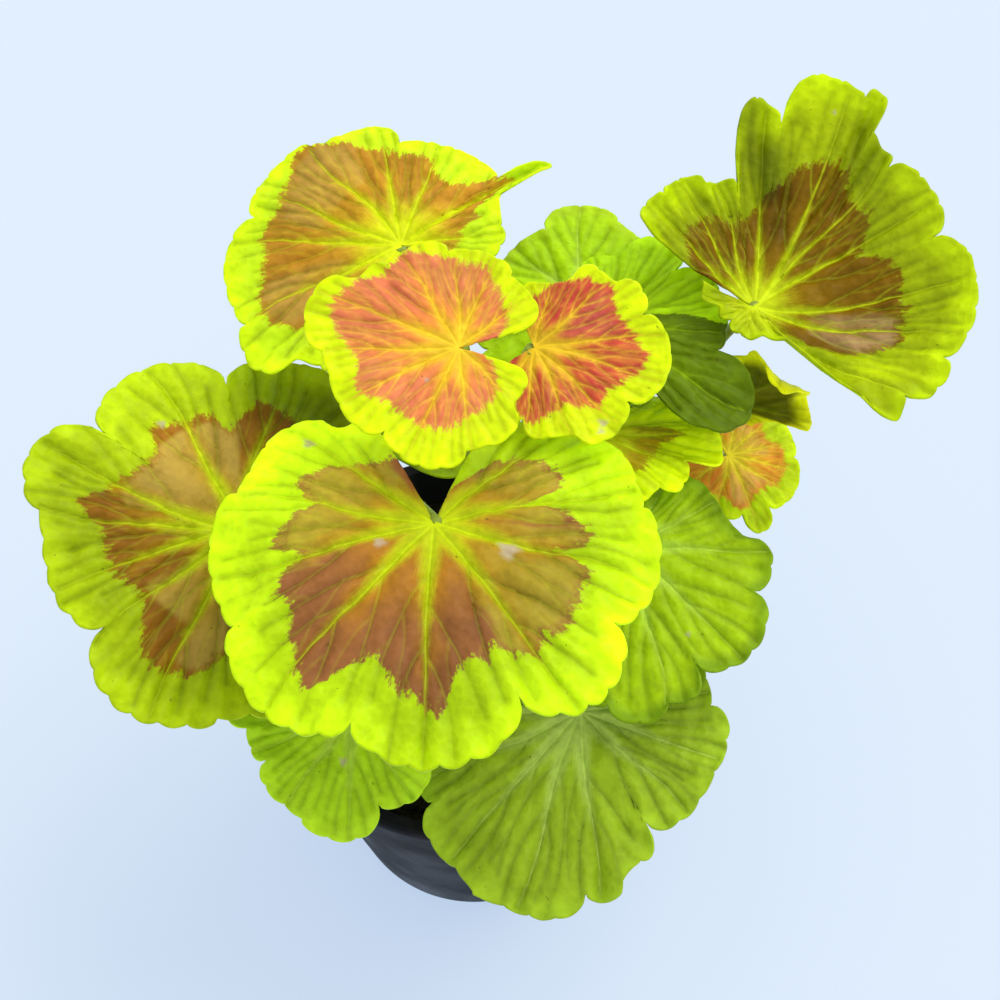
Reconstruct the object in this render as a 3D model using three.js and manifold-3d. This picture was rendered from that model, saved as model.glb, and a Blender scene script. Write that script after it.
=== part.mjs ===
// Zonal pelargonium with shield-marked leaves, growing in a round nursery pot.
// Millimetres, +Z up. The origin is the middle of the pot's underside.
import * as THREE from "three";
import { mergeVertices } from "three/addons/utils/BufferGeometryUtils.js";
import Module from "manifold-3d";

const wasm = await Module();
wasm.setup();

// Driving dimensions
const POT_HEIGHT = 95;
const POT_RIM_RADIUS = 52.5;
const POT_BASE_RADIUS = 35.5;
const POT_WALL = 1.5;
const POT_LIP = 2.4;
const LIP_DEPTH = 5;
const HEEL = 2;
const POT_FLOOR = 1.8;
const POT_SIDES = 40;
const DRAIN_HOLES = 6;
const DRAIN_RADIUS = 4;
const DRAIN_CIRCLE = 25;
const CLEARANCE = 0.3;

const SOIL_LEVEL = 83;
const SOIL_RINGS = 7;
const SOIL_RELIEF = 1.1;

const STEM_RADIUS = 4.4;
const STEM_HOLE_DEPTH = 22;
const STEM_SIDES = 8;
const JOINT_SWELLING = 1.16;
const STEM_ROUTE = [
  [0, 0, SOIL_LEVEL - STEM_HOLE_DEPTH + CLEARANCE],
  [0, 0, 80],
  [0.1, 0.4, 92],
  [1, 4, 112],
  [3, 9, 138],
  [4, 15, 158],
  [5, 20, 170],
];
const STEM_TAPER = [STEM_RADIUS, 4.2, 3.8, 3.3, 2.6];
const STIPULE_LENGTH = 5;
const STIPULE_WIDTH = 3.2;
const STIPULE_BEARING = 100;

const BLADE_THICKNESS = 0.8;
const STALK_RADIUS = 1.35;
const STALK_SIDES = 6;
const STALK_STEPS = 9;
const STALK_RISE = 0.3;
const SPOKES_PER_LOBE = 8;
const LARGE_BLADE_RINGS = [[4, 0.28], [2, 0.56], [1, 0.82], [1, 1]];
const SMALL_BLADE_RINGS = [[4, 0.32], [2, 0.66], [1, 1]];
const CURLED_BLADE_RINGS = [[4, 0.3], [2, 0.6], [1, 0.74], [1, 0.87], [1, 1]];
const TOOTH_DEPTH = 0.03;
const PLEAT = 0.022;

// Colours, as seen on the plant
const POT_COLOUR = 0x34363c;
const SOIL_COLOUR = 0x1f1a17;
const STEM_COLOUR = 0x8fa03a;
const GOLDEN_LEAF = 0xb9cf1c;
const BRIGHT_LEAF = 0xcfdc10;
const GREEN_LEAF = 0x8fb51a;
const DARK_LEAF = 0x5f7f12;

// Every leaf: where its stalk meets the blade (at), the bearing of its tip from +X, how far the
// blade climbs for each millimetre along x and y (lean), its nominal span, how much the rim stands
// above the middle (dome), and waves round the rim as [count, height, phase], both in shares of the
// span. A curl, [bearing, distance, radius], rolls what lies beyond that distance from the stalk. The
// stalk leaves the stem at the height node, arrives along arrival and bows by sway. The lobes run
// anticlockwise from one side of the sinus, at bearing from and reach neck, to the other side:
// [width in degrees, reach, reach of the notch that follows].
const LEAVES = [
  {
    name: "leaf_front", colour: GOLDEN_LEAF, at: [-6.2, -12, 168], tip: -95, lean: [0.03, 0.02],
    span: 47, dome: -0.1, waves: [[3, 0.02, 40]], from: -147, neck: 30, node: 141.5,
    lobes: [[50, 43, 43], [41, 48, 46], [41, 53, 46], [44, 52, 43], [34, 51, 41], [38, 47, 43], [27, 44, 36],
      [33, 38, 26]],
  },
  {
    name: "leaf_left", colour: GOLDEN_LEAF, at: [-50.6, 3.7, 140], tip: 180, lean: [-0.32, 0.15],
    span: 44, dome: -0.06, waves: [[3, 0.02, 0]], from: -150, neck: 26, node: 108,
    lobes: [[71, 47, 36], [51, 45, 37], [32, 48, 44], [42, 43, 38], [44, 50, 47], [60, 44, 28]],
  },
  {
    name: "leaf_back_left", colour: GOLDEN_LEAF, at: [-15.4, 62.1, 168], tip: 160, lean: [0.1, 0.15],
    span: 40, dome: -0.05, waves: [], from: -178, neck: 12, node: 147,
    lobes: [[44, 25, 27], [12, 40, 28], [53, 28.5, 28], [36, 36, 35], [37, 39.5, 35], [44, 43, 41],
      [40, 48, 38], [50, 38, 24]],
  },
  {
    name: "leaf_centre_left", colour: BRIGHT_LEAF, at: [-1, 15.9, 190], tip: 180, lean: [-0.04, 0.43],
    span: 28, dome: 0.05, waves: [], from: -165, neck: 12, node: 169,
    lobes: [[40, 19, 18.5], [42, 20, 19], [35, 24.5, 23], [52, 31, 28], [47, 27.5, 23], [44, 26, 22],
      [37, 21, 17], [30, 17, 12]],
  },
  {
    name: "leaf_centre_right", colour: BRIGHT_LEAF, at: [14.4, 23.5, 180], tip: 0, lean: [0.05, 0.5],
    span: 24, dome: 0.05, waves: [], from: -150, neck: 9, node: 160,
    lobes: [[50, 18, 17], [34, 23, 21.5], [33, 25.5, 23.5], [47, 29, 21], [46, 24.5, 17], [50, 14, 8]],
  },
  {
    name: "leaf_far_right", colour: GOLDEN_LEAF, at: [64.6, 46.6, 165], tip: 45, lean: [-0.05, 0.15],
    span: 46, dome: 0.4, waves: [], from: -245, neck: 14, node: 90,
    arrival: [0.08, -0.2, 0.95], sway: [-2, 11, 0], curls: [[-115, 27, -13]],
    lobes: [[24, 12.5, 10.5], [30, 8.8, 7.5], [89, 8.5, 13], [27, 46, 42], [45, 45, 39], [39, 43.5, 44],
      [28, 50, 40], [18, 44, 28], [33, 32.5, 32], [18, 32.5, 27]],
  },
  {
    name: "leaf_behind", colour: GREEN_LEAF, at: [25, 60, 150], tip: 100, lean: [0.1, 0.2],
    span: 28, dome: 0, waves: [[2, 0.04, 40]], from: -150, neck: 15, node: 136,
    lobes: [[65, 23, 19], [48, 22.5, 23.5], [47, 26, 20], [50, 20.5, 20], [50, 26, 24], [45, 33, 20]],
  },
  {
    name: "leaf_mid_right", colour: DARK_LEAF, at: [31.3, 46.7, 157], tip: -5, lean: [0.12, 0.1],
    span: 34, dome: -0.05, waves: [[3, 0.03, 20]], from: -120, neck: 14, node: 131,
    lobes: [[35, 20, 19], [30, 22, 20], [42, 39, 27], [57, 28, 22], [36, 28, 22], [34, 20, 15]],
  },
  {
    name: "leaf_curled", colour: DARK_LEAF, at: [62.5, 42, 134], tip: -118, lean: [-6, -12],
    span: 20, dome: 0, waves: [[6, 0.03, 0]], curls: [[28, 20.5, -3]], from: -150, neck: 8, node: 112.5,
    lobes: [[50, 10, 11], [50, 14, 14], [54, 18, 20], [48, 25.5, 21.5], [42, 20.5, 14], [56, 8, 7]],
  },
  {
    name: "leaf_orange", colour: BRIGHT_LEAF, at: [62.7, 36.1, 120], tip: -20, lean: [-0.05, 0.14],
    span: 16, dome: -0.05, waves: [], from: -150, neck: 9, node: 103.5,
    lobes: [[50, 17, 16], [40, 17, 16], [25, 21, 16.5], [55, 18.5, 16.5], [50, 17.5, 15.5], [40, 16, 14],
      [40, 15, 9]],
  },
  {
    name: "leaf_low_right", colour: GREEN_LEAF, at: [27.8, 26.4, 145], tip: 0, lean: [-0.2, 0],
    span: 30, dome: 0, waves: [], from: -110, neck: 11, node: 126,
    lobes: [[34, 8, 9], [34, 21, 19], [27, 24, 23.5], [20, 32, 31], [24, 38, 25], [45, 19, 12],
      [32, 10, 8]],
  },
  {
    name: "leaf_right", colour: GREEN_LEAF, at: [36.9, 2.3, 134], tip: -50, lean: [0.15, 0.25],
    span: 38, dome: -0.08, waves: [], from: -150, neck: 20, node: 117,
    lobes: [[50, 28, 28], [50, 38, 37], [21, 40, 37], [15, 37, 31], [41, 36, 30], [25, 32, 27], [60, 22, 13],
      [30, 14, 11]],
  },
  {
    name: "leaf_bottom_right", colour: GREEN_LEAF, at: [25.4, -28.6, 113], tip: -80, lean: [0.12, 0.3],
    span: 42, dome: -0.08, waves: [], from: -155, neck: 22, node: 94.5,
    lobes: [[45, 36.5, 34.5], [41, 42, 40], [28, 48, 48], [32, 47.5, 40.5], [29, 43, 30], [35, 34, 33.5],
      [27, 34, 30], [40, 30, 27], [30, 26, 20]],
  },
  {
    name: "leaf_bottom_left", colour: GREEN_LEAF, at: [-25.7, -31.2, 118], tip: -100, lean: [-0.05, 0.25],
    span: 32, dome: -0.08, waves: [], from: -150, neck: 18, node: 99,
    lobes: [[45, 28, 26], [34, 29, 24], [21, 24, 22], [36, 28.5, 28.5], [41, 30.5, 22], [40, 24, 20],
      [40, 24, 20], [40, 22, 16]],
  },
  {
    name: "leaf_inner_left", colour: DARK_LEAF, at: [-22, 31, 130], tip: 140, lean: [-0.1, 0.1],
    span: 22, dome: -0.05, waves: [], from: -165, neck: 13, node: 121.5,
    lobes: [[55, 23, 20], [55, 22, 20], [55, 22, 21], [55, 22, 20], [55, 22, 20], [55, 22, 14]],
  },
];

const radians = THREE.MathUtils.degToRad;
const vector = (p) => new THREE.Vector3(p[0], p[1], p[2]);
const UP = new THREE.Vector3(0, 0, 1);

// A closed geometry as a solid, turned the right way out if its faces point inwards.
function solidOf(geometry) {
  const bare = new THREE.BufferGeometry();
  bare.setAttribute("position", geometry.getAttribute("position"));
  bare.setIndex(geometry.index);
  const merged = mergeVertices(bare, 1e-4);
  const vertProperties = new Float32Array(merged.getAttribute("position").array);
  const triVerts = new Uint32Array(merged.index.array);
  const made = new wasm.Manifold(new wasm.Mesh({ numProp: 3, vertProperties, triVerts }));
  if (made.volume() > 0) {
    return made;
  }
  for (let i = 0; i < triVerts.length; i += 3) {
    [triVerts[i + 1], triVerts[i + 2]] = [triVerts[i + 2], triVerts[i + 1]];
  }
  return new wasm.Manifold(new wasm.Mesh({ numProp: 3, vertProperties, triVerts }));
}

// A solid back as a named mesh with its own material.
function meshOf(name, solid, colour, roughness) {
  const data = solid.getMesh();
  const geometry = new THREE.BufferGeometry();
  geometry.setAttribute("position", new THREE.BufferAttribute(data.vertProperties, 3));
  geometry.setIndex(new THREE.BufferAttribute(data.triVerts, 1));
  geometry.computeVertexNormals();
  const material = new THREE.MeshStandardMaterial({ color: colour, roughness, metalness: 0 });
  const mesh = new THREE.Mesh(geometry, material);
  mesh.name = name;
  return mesh;
}

// A round bar of one radius along a curve, with flat ends.
function bar(curve, radius, sides, steps) {
  const points = [];
  for (let i = 0; i < sides; i += 1) {
    const turn = (2 * Math.PI * i) / sides;
    points.push(new THREE.Vector2(radius * Math.cos(turn), radius * Math.sin(turn)));
  }
  const section = new THREE.Shape(points);
  return solidOf(new THREE.ExtrudeGeometry(section, { steps, bevelEnabled: false, extrudePath: curve }));
}

// Pot wall radius on the outside at a height.
function potRadius(z) {
  return THREE.MathUtils.lerp(POT_BASE_RADIUS, POT_RIM_RADIUS - POT_LIP, z / POT_HEIGHT);
}

// Thin cone of moulded plastic with a rolled lip and drain holes through its floor.
function pot() {
  const inner = (z) => potRadius(z) - POT_WALL;
  const lipFoot = POT_HEIGHT - LIP_DEPTH;
  const rounding = 1;
  const profile = [
    [0, 0],
    [POT_BASE_RADIUS - HEEL, 0],
    [POT_BASE_RADIUS, HEEL],
    [potRadius(lipFoot - 1.5 * rounding), lipFoot - 1.5 * rounding],
    [POT_RIM_RADIUS - 0.5 * rounding, lipFoot],
    [POT_RIM_RADIUS, POT_HEIGHT - rounding],
    [POT_RIM_RADIUS - rounding, POT_HEIGHT],
    [inner(POT_HEIGHT) + 0.5 * rounding, POT_HEIGHT],
    [inner(POT_HEIGHT - rounding), POT_HEIGHT - rounding],
    [inner(POT_FLOOR), POT_FLOOR],
    [0, POT_FLOOR],
  ].map(([r, z]) => new THREE.Vector2(r, z));
  const shell = new THREE.LatheGeometry(profile, POT_SIDES).rotateX(Math.PI / 2);
  let solid = solidOf(shell);
  for (let i = 0; i < DRAIN_HOLES; i += 1) {
    const turn = (2 * Math.PI * (i + 0.5)) / DRAIN_HOLES;
    const hole = new THREE.CylinderGeometry(DRAIN_RADIUS, DRAIN_RADIUS, 4 * POT_FLOOR, 10);
    hole.rotateX(Math.PI / 2);
    hole.translate(DRAIN_CIRCLE * Math.cos(turn), DRAIN_CIRCLE * Math.sin(turn), POT_FLOOR / 2);
    solid = solid.subtract(solidOf(hole));
  }
  return meshOf("pot", solid, POT_COLOUR, 0.45);
}

// Height of the crumbs at a place on the soil.
function crumb(x, y) {
  const coarse = Math.sin(0.41 * x + 1.3) * Math.cos(0.37 * y - 0.6);
  const fine = Math.sin(1.13 * x - 0.4 * y) * Math.sin(0.93 * y + 0.7 * x + 2);
  return SOIL_RELIEF * (0.6 * coarse + 0.4 * fine);
}

// Potting soil: fills the pot to below its lip, with a plain hole that the stem stands in.
function soil() {
  const wall = (z) => potRadius(z) - POT_WALL - CLEARANCE;
  const hole = STEM_RADIUS + CLEARANCE;
  const floor = POT_FLOOR + CLEARANCE;
  const edge = wall(SOIL_LEVEL);
  const profile = [[0, floor], [wall(floor), floor], [edge, SOIL_LEVEL]];
  for (let i = SOIL_RINGS - 1; i >= 0; i -= 1) {
    profile.push([THREE.MathUtils.lerp(hole, edge, i / SOIL_RINGS), SOIL_LEVEL]);
  }
  profile.push([hole, SOIL_LEVEL - STEM_HOLE_DEPTH], [0, SOIL_LEVEL - STEM_HOLE_DEPTH]);
  const points = profile.map(([r, z]) => new THREE.Vector2(r, z));
  const body = new THREE.LatheGeometry(points, POT_SIDES).rotateX(Math.PI / 2);
  const place = body.getAttribute("position");
  for (let i = 0; i < place.count; i += 1) {
    const x = place.getX(i);
    const y = place.getY(i);
    const out = Math.hypot(x, y);
    if (place.getZ(i) > SOIL_LEVEL - 0.5 && out < edge - 0.5 && out > hole + 0.5) {
      place.setZ(i, SOIL_LEVEL + crumb(x, y));
    }
  }
  return meshOf("soil", solidOf(body), SOIL_COLOUR, 0.95);
}

const stemCurve = new THREE.CatmullRomCurve3(STEM_ROUTE.map(vector));

// Where the stem's middle line is at a height, and its radius there.
function stemAt(z) {
  let low = 0;
  let high = 1;
  for (let i = 0; i < 30; i += 1) {
    const middle = (low + high) / 2;
    if (stemCurve.getPoint(middle).z < z) {
      low = middle;
    } else {
      high = middle;
    }
  }
  const stretch = Math.min(STEM_TAPER.length - 1, Math.floor(low * STEM_TAPER.length));
  return { centre: stemCurve.getPoint(low), radius: STEM_TAPER[stretch] };
}

// One stretch of the stem's curve, for a bar of one radius.
function stemStretch(index) {
  const points = [0, 0.34, 0.67, 1].map((t) => stemCurve.getPoint((index + t) / STEM_TAPER.length));
  return new THREE.CatmullRomCurve3(points);
}

// A pair of small pointed stipules on a joint, one on each side of its stalk.
function stipules(centre, radius, out) {
  const pair = [-1, 1].map((side) => {
    const away = out.clone().applyAxisAngle(UP, side * radians(STIPULE_BEARING));
    const axis = away.clone().multiplyScalar(0.5).add(UP).normalize();
    const flat = new THREE.Vector3().crossVectors(UP, away);
    const turn = new THREE.Matrix4().makeBasis(flat, axis, new THREE.Vector3().crossVectors(flat, axis));
    const root = centre.clone().addScaledVector(away, 0.8 * radius);
    root.addScaledVector(axis, 0.3 * STIPULE_LENGTH);
    const scale = new THREE.ConeGeometry(STIPULE_WIDTH / 2, STIPULE_LENGTH, 6).scale(1, 1, 0.5);
    return solidOf(scale.applyMatrix4(turn).translate(root.x, root.y, root.z));
  });
  return pair[0].add(pair[1]);
}

// The jointed stem with a swelling and stipules where each stalk leaves it, and the growing tip.
function stems() {
  let solid = bar(stemStretch(0), STEM_TAPER[0], STEM_SIDES, 3);
  for (let i = 1; i < STEM_TAPER.length; i += 1) {
    solid = solid.add(bar(stemStretch(i), STEM_TAPER[i], STEM_SIDES, 3));
  }
  for (const leaf of LEAVES) {
    const { centre, radius } = stemAt(leaf.node);
    const swelling = new THREE.SphereGeometry(radius * JOINT_SWELLING, 7, 3).rotateX(Math.PI / 2);
    swelling.scale(1, 1, 0.7).translate(centre.x, centre.y, centre.z);
    const out = vector(leaf.at).sub(centre).setZ(0).normalize();
    solid = solid.add(solidOf(swelling)).add(stipules(centre, radius, out));
  }
  const top = vector(STEM_ROUTE[STEM_ROUTE.length - 1]);
  const buds = [[0, 0, 2.6, 6], [1.8, 0.8, 1.7, 4.5], [-1.6, 0.9, 1.6, 4]];
  for (const [x, y, radius, height] of buds) {
    const bud = new THREE.SphereGeometry(1, 8, 5).rotateX(Math.PI / 2).scale(radius, radius, height);
    bud.translate(top.x + x, top.y + y, top.z);
    solid = solid.add(solidOf(bud));
  }
  return solid;
}

const stemSolid = stems();

// The plane that a leaf spreads in: along its tip, across it, and its normal.
function leafFrame(leaf) {
  const normal = new THREE.Vector3(-leaf.lean[0], -leaf.lean[1], 1).normalize();
  const bearing = radians(leaf.tip);
  const along = new THREE.Vector3(Math.cos(bearing), Math.sin(bearing), 0);
  along.z = leaf.lean[0] * along.x + leaf.lean[1] * along.y;
  along.normalize();
  return { along, across: new THREE.Vector3().crossVectors(normal, along), normal };
}

// A point of the blade's middle surface, at a reach and a bearing from the tip. Each lobe is folded
// a little along its own vein (pleat), and a curl rolls what lies past a line round a radius, up or
// down by its sign.
function bladePoint(leaf, frame, reach, angle, pleat) {
  let x = reach * Math.cos(angle);
  let y = reach * Math.sin(angle);
  const share = reach / leaf.span;
  let lift = leaf.dome + pleat;
  for (const [count, height, phase] of leaf.waves) {
    lift += height * Math.cos(count * (angle - radians(phase)));
  }
  let height = lift * leaf.span * share * share;
  for (const [bearing, from, radius] of leaf.curls ?? []) {
    const way = new THREE.Vector2(1, 0).rotateAround(new THREE.Vector2(), radians(bearing));
    const beyond = Math.max(0, x * way.x + y * way.y - from);
    const turn = beyond / Math.abs(radius);
    const back = Math.abs(radius) * Math.sin(turn) - beyond;
    x += back * way.x;
    y += back * way.y;
    height += radius * (1 - Math.cos(turn));
  }
  return vector(leaf.at)
    .addScaledVector(frame.along, x)
    .addScaledVector(frame.across, y)
    .addScaledVector(frame.normal, height);
}

// The blade's outline as spokes of bearing, reach and pleat: rounded lobes with crenate teeth.
function outline(leaf) {
  const spokes = [];
  let start = leaf.from;
  let low = leaf.neck;
  for (const [width, reach, notch] of leaf.lobes) {
    for (let i = 0; i < SPOKES_PER_LOBE; i += 1) {
      const t = i / SPOKES_PER_LOBE;
      const base = THREE.MathUtils.lerp(low, notch, t);
      const round = Math.sqrt(Math.sin(Math.PI * t));
      const tooth = i % 2 ? 1 : 1 - TOOTH_DEPTH;
      spokes.push({
        angle: radians(start + width * t),
        reach: (base + (reach - base) * round) * tooth,
        pleat: PLEAT * Math.cos(2 * Math.PI * t),
      });
    }
    start += width;
    low = notch;
  }
  spokes.push({ angle: radians(start), reach: low, pleat: PLEAT });
  return spokes;
}

// The blade: rings of spokes round the stalk, each ring with twice the spokes of the one inside it,
// and the same triangles on both faces.
function blade(leaf) {
  const frame = leafFrame(leaf);
  const spokes = outline(leaf);
  const flat = leaf.span > 35 ? LARGE_BLADE_RINGS : SMALL_BLADE_RINGS;
  const rings = leaf.curls ? CURLED_BLADE_RINGS : flat;
  const points = [vector(leaf.at)];
  const rows = rings.map(([every, share]) => {
    const row = [];
    for (let i = 0; i < spokes.length; i += every) {
      const spoke = spokes[i];
      row.push(points.length);
      points.push(bladePoint(leaf, frame, spoke.reach * share, spoke.angle, spoke.pleat));
    }
    return row;
  });
  const faces = [];
  for (let i = 0; i + 1 < rows[0].length; i += 1) {
    faces.push([0, rows[0][i], rows[0][i + 1]]);
  }
  for (let k = 0; k + 1 < rows.length; k += 1) {
    const inner = rows[k];
    const outer = rows[k + 1];
    const double = outer.length > inner.length;
    for (let i = 0; i + 1 < inner.length; i += 1) {
      const a = inner[i];
      const b = inner[i + 1];
      if (double) {
        const [p, q, r] = [outer[2 * i], outer[2 * i + 1], outer[2 * i + 2]];
        faces.push([a, p, q], [a, q, b], [b, q, r]);
      } else {
        faces.push([a, outer[i], outer[i + 1]], [a, outer[i + 1], b]);
      }
    }
  }
  const last = rows[rows.length - 1];
  const border = [0, ...rows.slice(0, -1).map((row) => row[0]), ...last];
  border.push(...rows.slice(0, -1).reverse().map((row) => row[row.length - 1]));
  return thicken(points, faces, border);
}

// A sheet of faces given a thickness along its own normals and a wall round its border.
function thicken(points, faces, border) {
  const sheet = new THREE.BufferGeometry().setFromPoints(points);
  sheet.setIndex(faces.flat());
  sheet.computeVertexNormals();
  const normals = sheet.getAttribute("normal");
  const count = points.length;
  const both = [];
  for (const side of [0.5, -0.5]) {
    points.forEach((point, i) => {
      const normal = new THREE.Vector3().fromBufferAttribute(normals, i);
      both.push(point.clone().addScaledVector(normal, side * BLADE_THICKNESS));
    });
  }
  const index = [];
  for (const [a, b, c] of faces) {
    index.push(a, b, c, count + a, count + c, count + b);
  }
  border.forEach((a, i) => {
    const b = border[(i + 1) % border.length];
    index.push(a, count + a, count + b, a, count + b, b);
  });
  const body = new THREE.BufferGeometry().setFromPoints(both);
  body.setIndex(index);
  return solidOf(body);
}

// A stalk that starts at a distance from the stem's middle and runs up under the blade to its sinus.
function stalkFrom(leaf, reach) {
  const frame = leafFrame(leaf);
  const end = vector(leaf.at);
  const root = stemAt(leaf.node);
  const out = end.clone().sub(root.centre).setZ(0).normalize();
  const first = out.clone().setZ(STALK_RISE).normalize();
  const start = root.centre.clone().addScaledVector(out, reach);
  const length = start.distanceTo(end);
  const below = frame.normal.clone().multiplyScalar(0.75).addScaledVector(out, 0.45);
  const last = (leaf.arrival ? vector(leaf.arrival) : below).normalize();
  const sway = vector(leaf.sway ?? [0, 0, 0]);
  const curve = new THREE.CubicBezierCurve3(
    start,
    start.clone().addScaledVector(first, 0.4 * length).add(sway),
    end.clone().addScaledVector(last, -0.35 * length).add(sway),
    end.clone().addScaledVector(last, -0.3),
  );
  return bar(curve, STALK_RADIUS, STALK_SIDES, STALK_STEPS);
}

// The stalk moved up to its joint on the stem until only the clearance is left.
function stalk(leaf) {
  const reach = stemAt(leaf.node).radius * JOINT_SWELLING + STALK_RADIUS;
  const gap = stemSolid.minGap(stalkFrom(leaf, reach), STEM_RADIUS);
  return stalkFrom(leaf, reach + CLEARANCE - gap);
}

const plant = new THREE.Group();
plant.name = "potted_pelargonium";
plant.add(pot(), soil(), meshOf("stems", stemSolid, STEM_COLOUR, 0.6));
for (const leaf of LEAVES) {
  plant.add(meshOf(leaf.name, blade(leaf).add(stalk(leaf)), leaf.colour, 0.55));
}

export default plant;
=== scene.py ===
# %% [markdown]
# # A potted pelargonium with shield-marked leaves
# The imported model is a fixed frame: pot, soil, stem and fifteen leaves, each where it grows. This
# lesson dresses each of them with a finer piece of the same form, and gives it its finish.
# Everything stands in the frame's own place, so nothing is fitted by eye afterwards. The sizes of
# the pieces are written in millimetres, and become metres where a mesh is made. Camera, textures
# and bumps are written in metres.

import bpy
import math
import random
import numpy as np
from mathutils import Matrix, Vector


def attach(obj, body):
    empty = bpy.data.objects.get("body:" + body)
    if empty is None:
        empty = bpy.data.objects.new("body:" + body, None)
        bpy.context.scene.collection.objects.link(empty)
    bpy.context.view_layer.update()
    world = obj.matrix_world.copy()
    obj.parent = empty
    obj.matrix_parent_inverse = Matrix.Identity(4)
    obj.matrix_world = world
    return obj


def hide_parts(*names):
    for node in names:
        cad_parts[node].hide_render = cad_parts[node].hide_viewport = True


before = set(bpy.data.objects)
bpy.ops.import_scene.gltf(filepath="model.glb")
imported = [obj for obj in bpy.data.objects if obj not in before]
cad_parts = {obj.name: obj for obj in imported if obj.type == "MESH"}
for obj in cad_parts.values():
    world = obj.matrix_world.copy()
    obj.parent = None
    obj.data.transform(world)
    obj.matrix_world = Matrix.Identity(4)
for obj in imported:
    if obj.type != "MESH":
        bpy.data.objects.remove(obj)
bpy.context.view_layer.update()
MM = 0.001
print("frame nodes:", len(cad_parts))

# %% [markdown]
# ## Camera and light
# The camera looks down on the plant from 58 degrees above the table, about half a metre from the pot.
# Light is broad and soft: a white sky all round, and one large soft sun behind the plant on the
# right, which lays a pale shadow to the lower left. The view transform is Standard, so the very
# saturated lime of the leaves stays as it is.

# %% Camera
CAMERA_PLACE = (0.0073, -0.192, 0.4644)
CAMERA_PITCH = 32.0
CAMERA_LENS = 61.2
SENSOR_WIDTH = 36.0
NEAREST_SEEN = 0.01

camera_data = bpy.data.cameras.new("camera")
camera_data.lens = CAMERA_LENS
camera_data.sensor_width = SENSOR_WIDTH
camera_data.clip_start = NEAREST_SEEN
camera = bpy.data.objects.new("camera", camera_data)
camera.location = CAMERA_PLACE
camera.rotation_euler = (math.radians(CAMERA_PITCH), 0.0, 0.0)
bpy.context.scene.collection.objects.link(camera)
bpy.context.scene.camera = camera
bpy.context.scene.view_settings.view_transform = "Standard"
print("camera at", CAMERA_PLACE)

# %% Sky and sun
SKY_STRENGTH = 0.86
SUN_STRENGTH = 1.5
SUN_AZIMUTH = math.radians(38.0)
SUN_HEIGHT = math.radians(58.0)
SUN_SPREAD = math.radians(44.0)

world = bpy.data.worlds.new("studio")
world.use_nodes = True
sky = world.node_tree.nodes["Background"].inputs
sky["Color"].default_value = (1.0, 1.0, 1.0, 1.0)
sky["Strength"].default_value = SKY_STRENGTH
bpy.context.scene.world = world

sun_data = bpy.data.lights.new("sun", "SUN")
sun_data.energy = SUN_STRENGTH
sun_data.angle = SUN_SPREAD
sun = bpy.data.objects.new("sun", sun_data)
towards_sun = Vector((
    math.cos(SUN_HEIGHT) * math.cos(SUN_AZIMUTH),
    math.cos(SUN_HEIGHT) * math.sin(SUN_AZIMUTH),
    math.sin(SUN_HEIGHT),
))
sun.rotation_euler = towards_sun.to_track_quat("Z", "Y").to_euler()
bpy.context.scene.collection.objects.link(sun)
print("sun from", [round(v, 2) for v in towards_sun])

# %% [markdown]
# ## Small helpers for materials
# A material is a tree of nodes. This class holds one tree. Its method feed gives a socket its value or
# link, and every other method adds one node, so that what a finish is made of stays readable. A value
# may be a plain number or colour, or the output of another node.

# %% Node helpers
COLOUR = "NodeSocketColor"
FLOAT = "NodeSocketFloat"


def rgba(colour):
    return (*colour, 1.0)


class Nodes:
    def __init__(self, tree):
        self.tree = tree

    def feed(self, value, socket):
        if isinstance(value, bpy.types.NodeSocket):
            self.tree.links.new(value, socket)
        else:
            socket.default_value = value

    def add(self, kind, inputs=None, **settings):
        made = self.tree.nodes.new(kind)
        for key, value in settings.items():
            setattr(made, key, value)
        for key, value in (inputs or {}).items():
            self.feed(value, made.inputs[key])
        return made.outputs

    def maths(self, operation, *values):
        return self.add("ShaderNodeMath", dict(enumerate(values)), operation=operation)[0]

    def plus(self, a, b):
        return self.maths("ADD", a, b)

    def minus(self, a, b):
        return self.maths("SUBTRACT", a, b)

    def times(self, a, b):
        return self.maths("MULTIPLY", a, b)

    def times_plus(self, a, b, c):
        return self.maths("MULTIPLY_ADD", a, b, c)

    def centred(self, value, share):
        """A noise between 0 and 1 becomes one between minus and plus half the share."""
        return self.times_plus(value, share, -0.5 * share)

    def mixed(self, factor, a, b):
        return self.add("ShaderNodeMix", {0: factor, 6: a, 7: b}, data_type="RGBA")[2]

    def scaled(self, colour, gain):
        return self.add("ShaderNodeVectorMath", {0: colour, "Scale": gain}, operation="SCALE")[0]

    def stepped(self, value, low, high, out_low=0.0, out_high=1.0):
        inputs = {"Value": value, "From Min": low, "From Max": high, "To Min": out_low, "To Max": out_high}
        return self.add("ShaderNodeMapRange", inputs, interpolation_type="SMOOTHSTEP")["Result"]

    def carried(self, name):
        """A value that the mesh carries on its points."""
        return self.add("ShaderNodeAttribute", attribute_name=name)["Fac"]

    def place(self):
        return self.add("ShaderNodeTexCoord")["Object"]

    def noise(self, vector, scale, detail=2.0, roughness=0.5):
        inputs = {"Vector": vector, "Scale": scale, "Detail": detail, "Roughness": roughness}
        return self.add("ShaderNodeTexNoise", inputs)["Fac"]

    def bump(self, shader, height, strength, distance):
        inputs = {"Height": height, "Strength": strength, "Distance": distance}
        self.feed(self.add("ShaderNodeBump", inputs)["Normal"], shader["Normal"])


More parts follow.
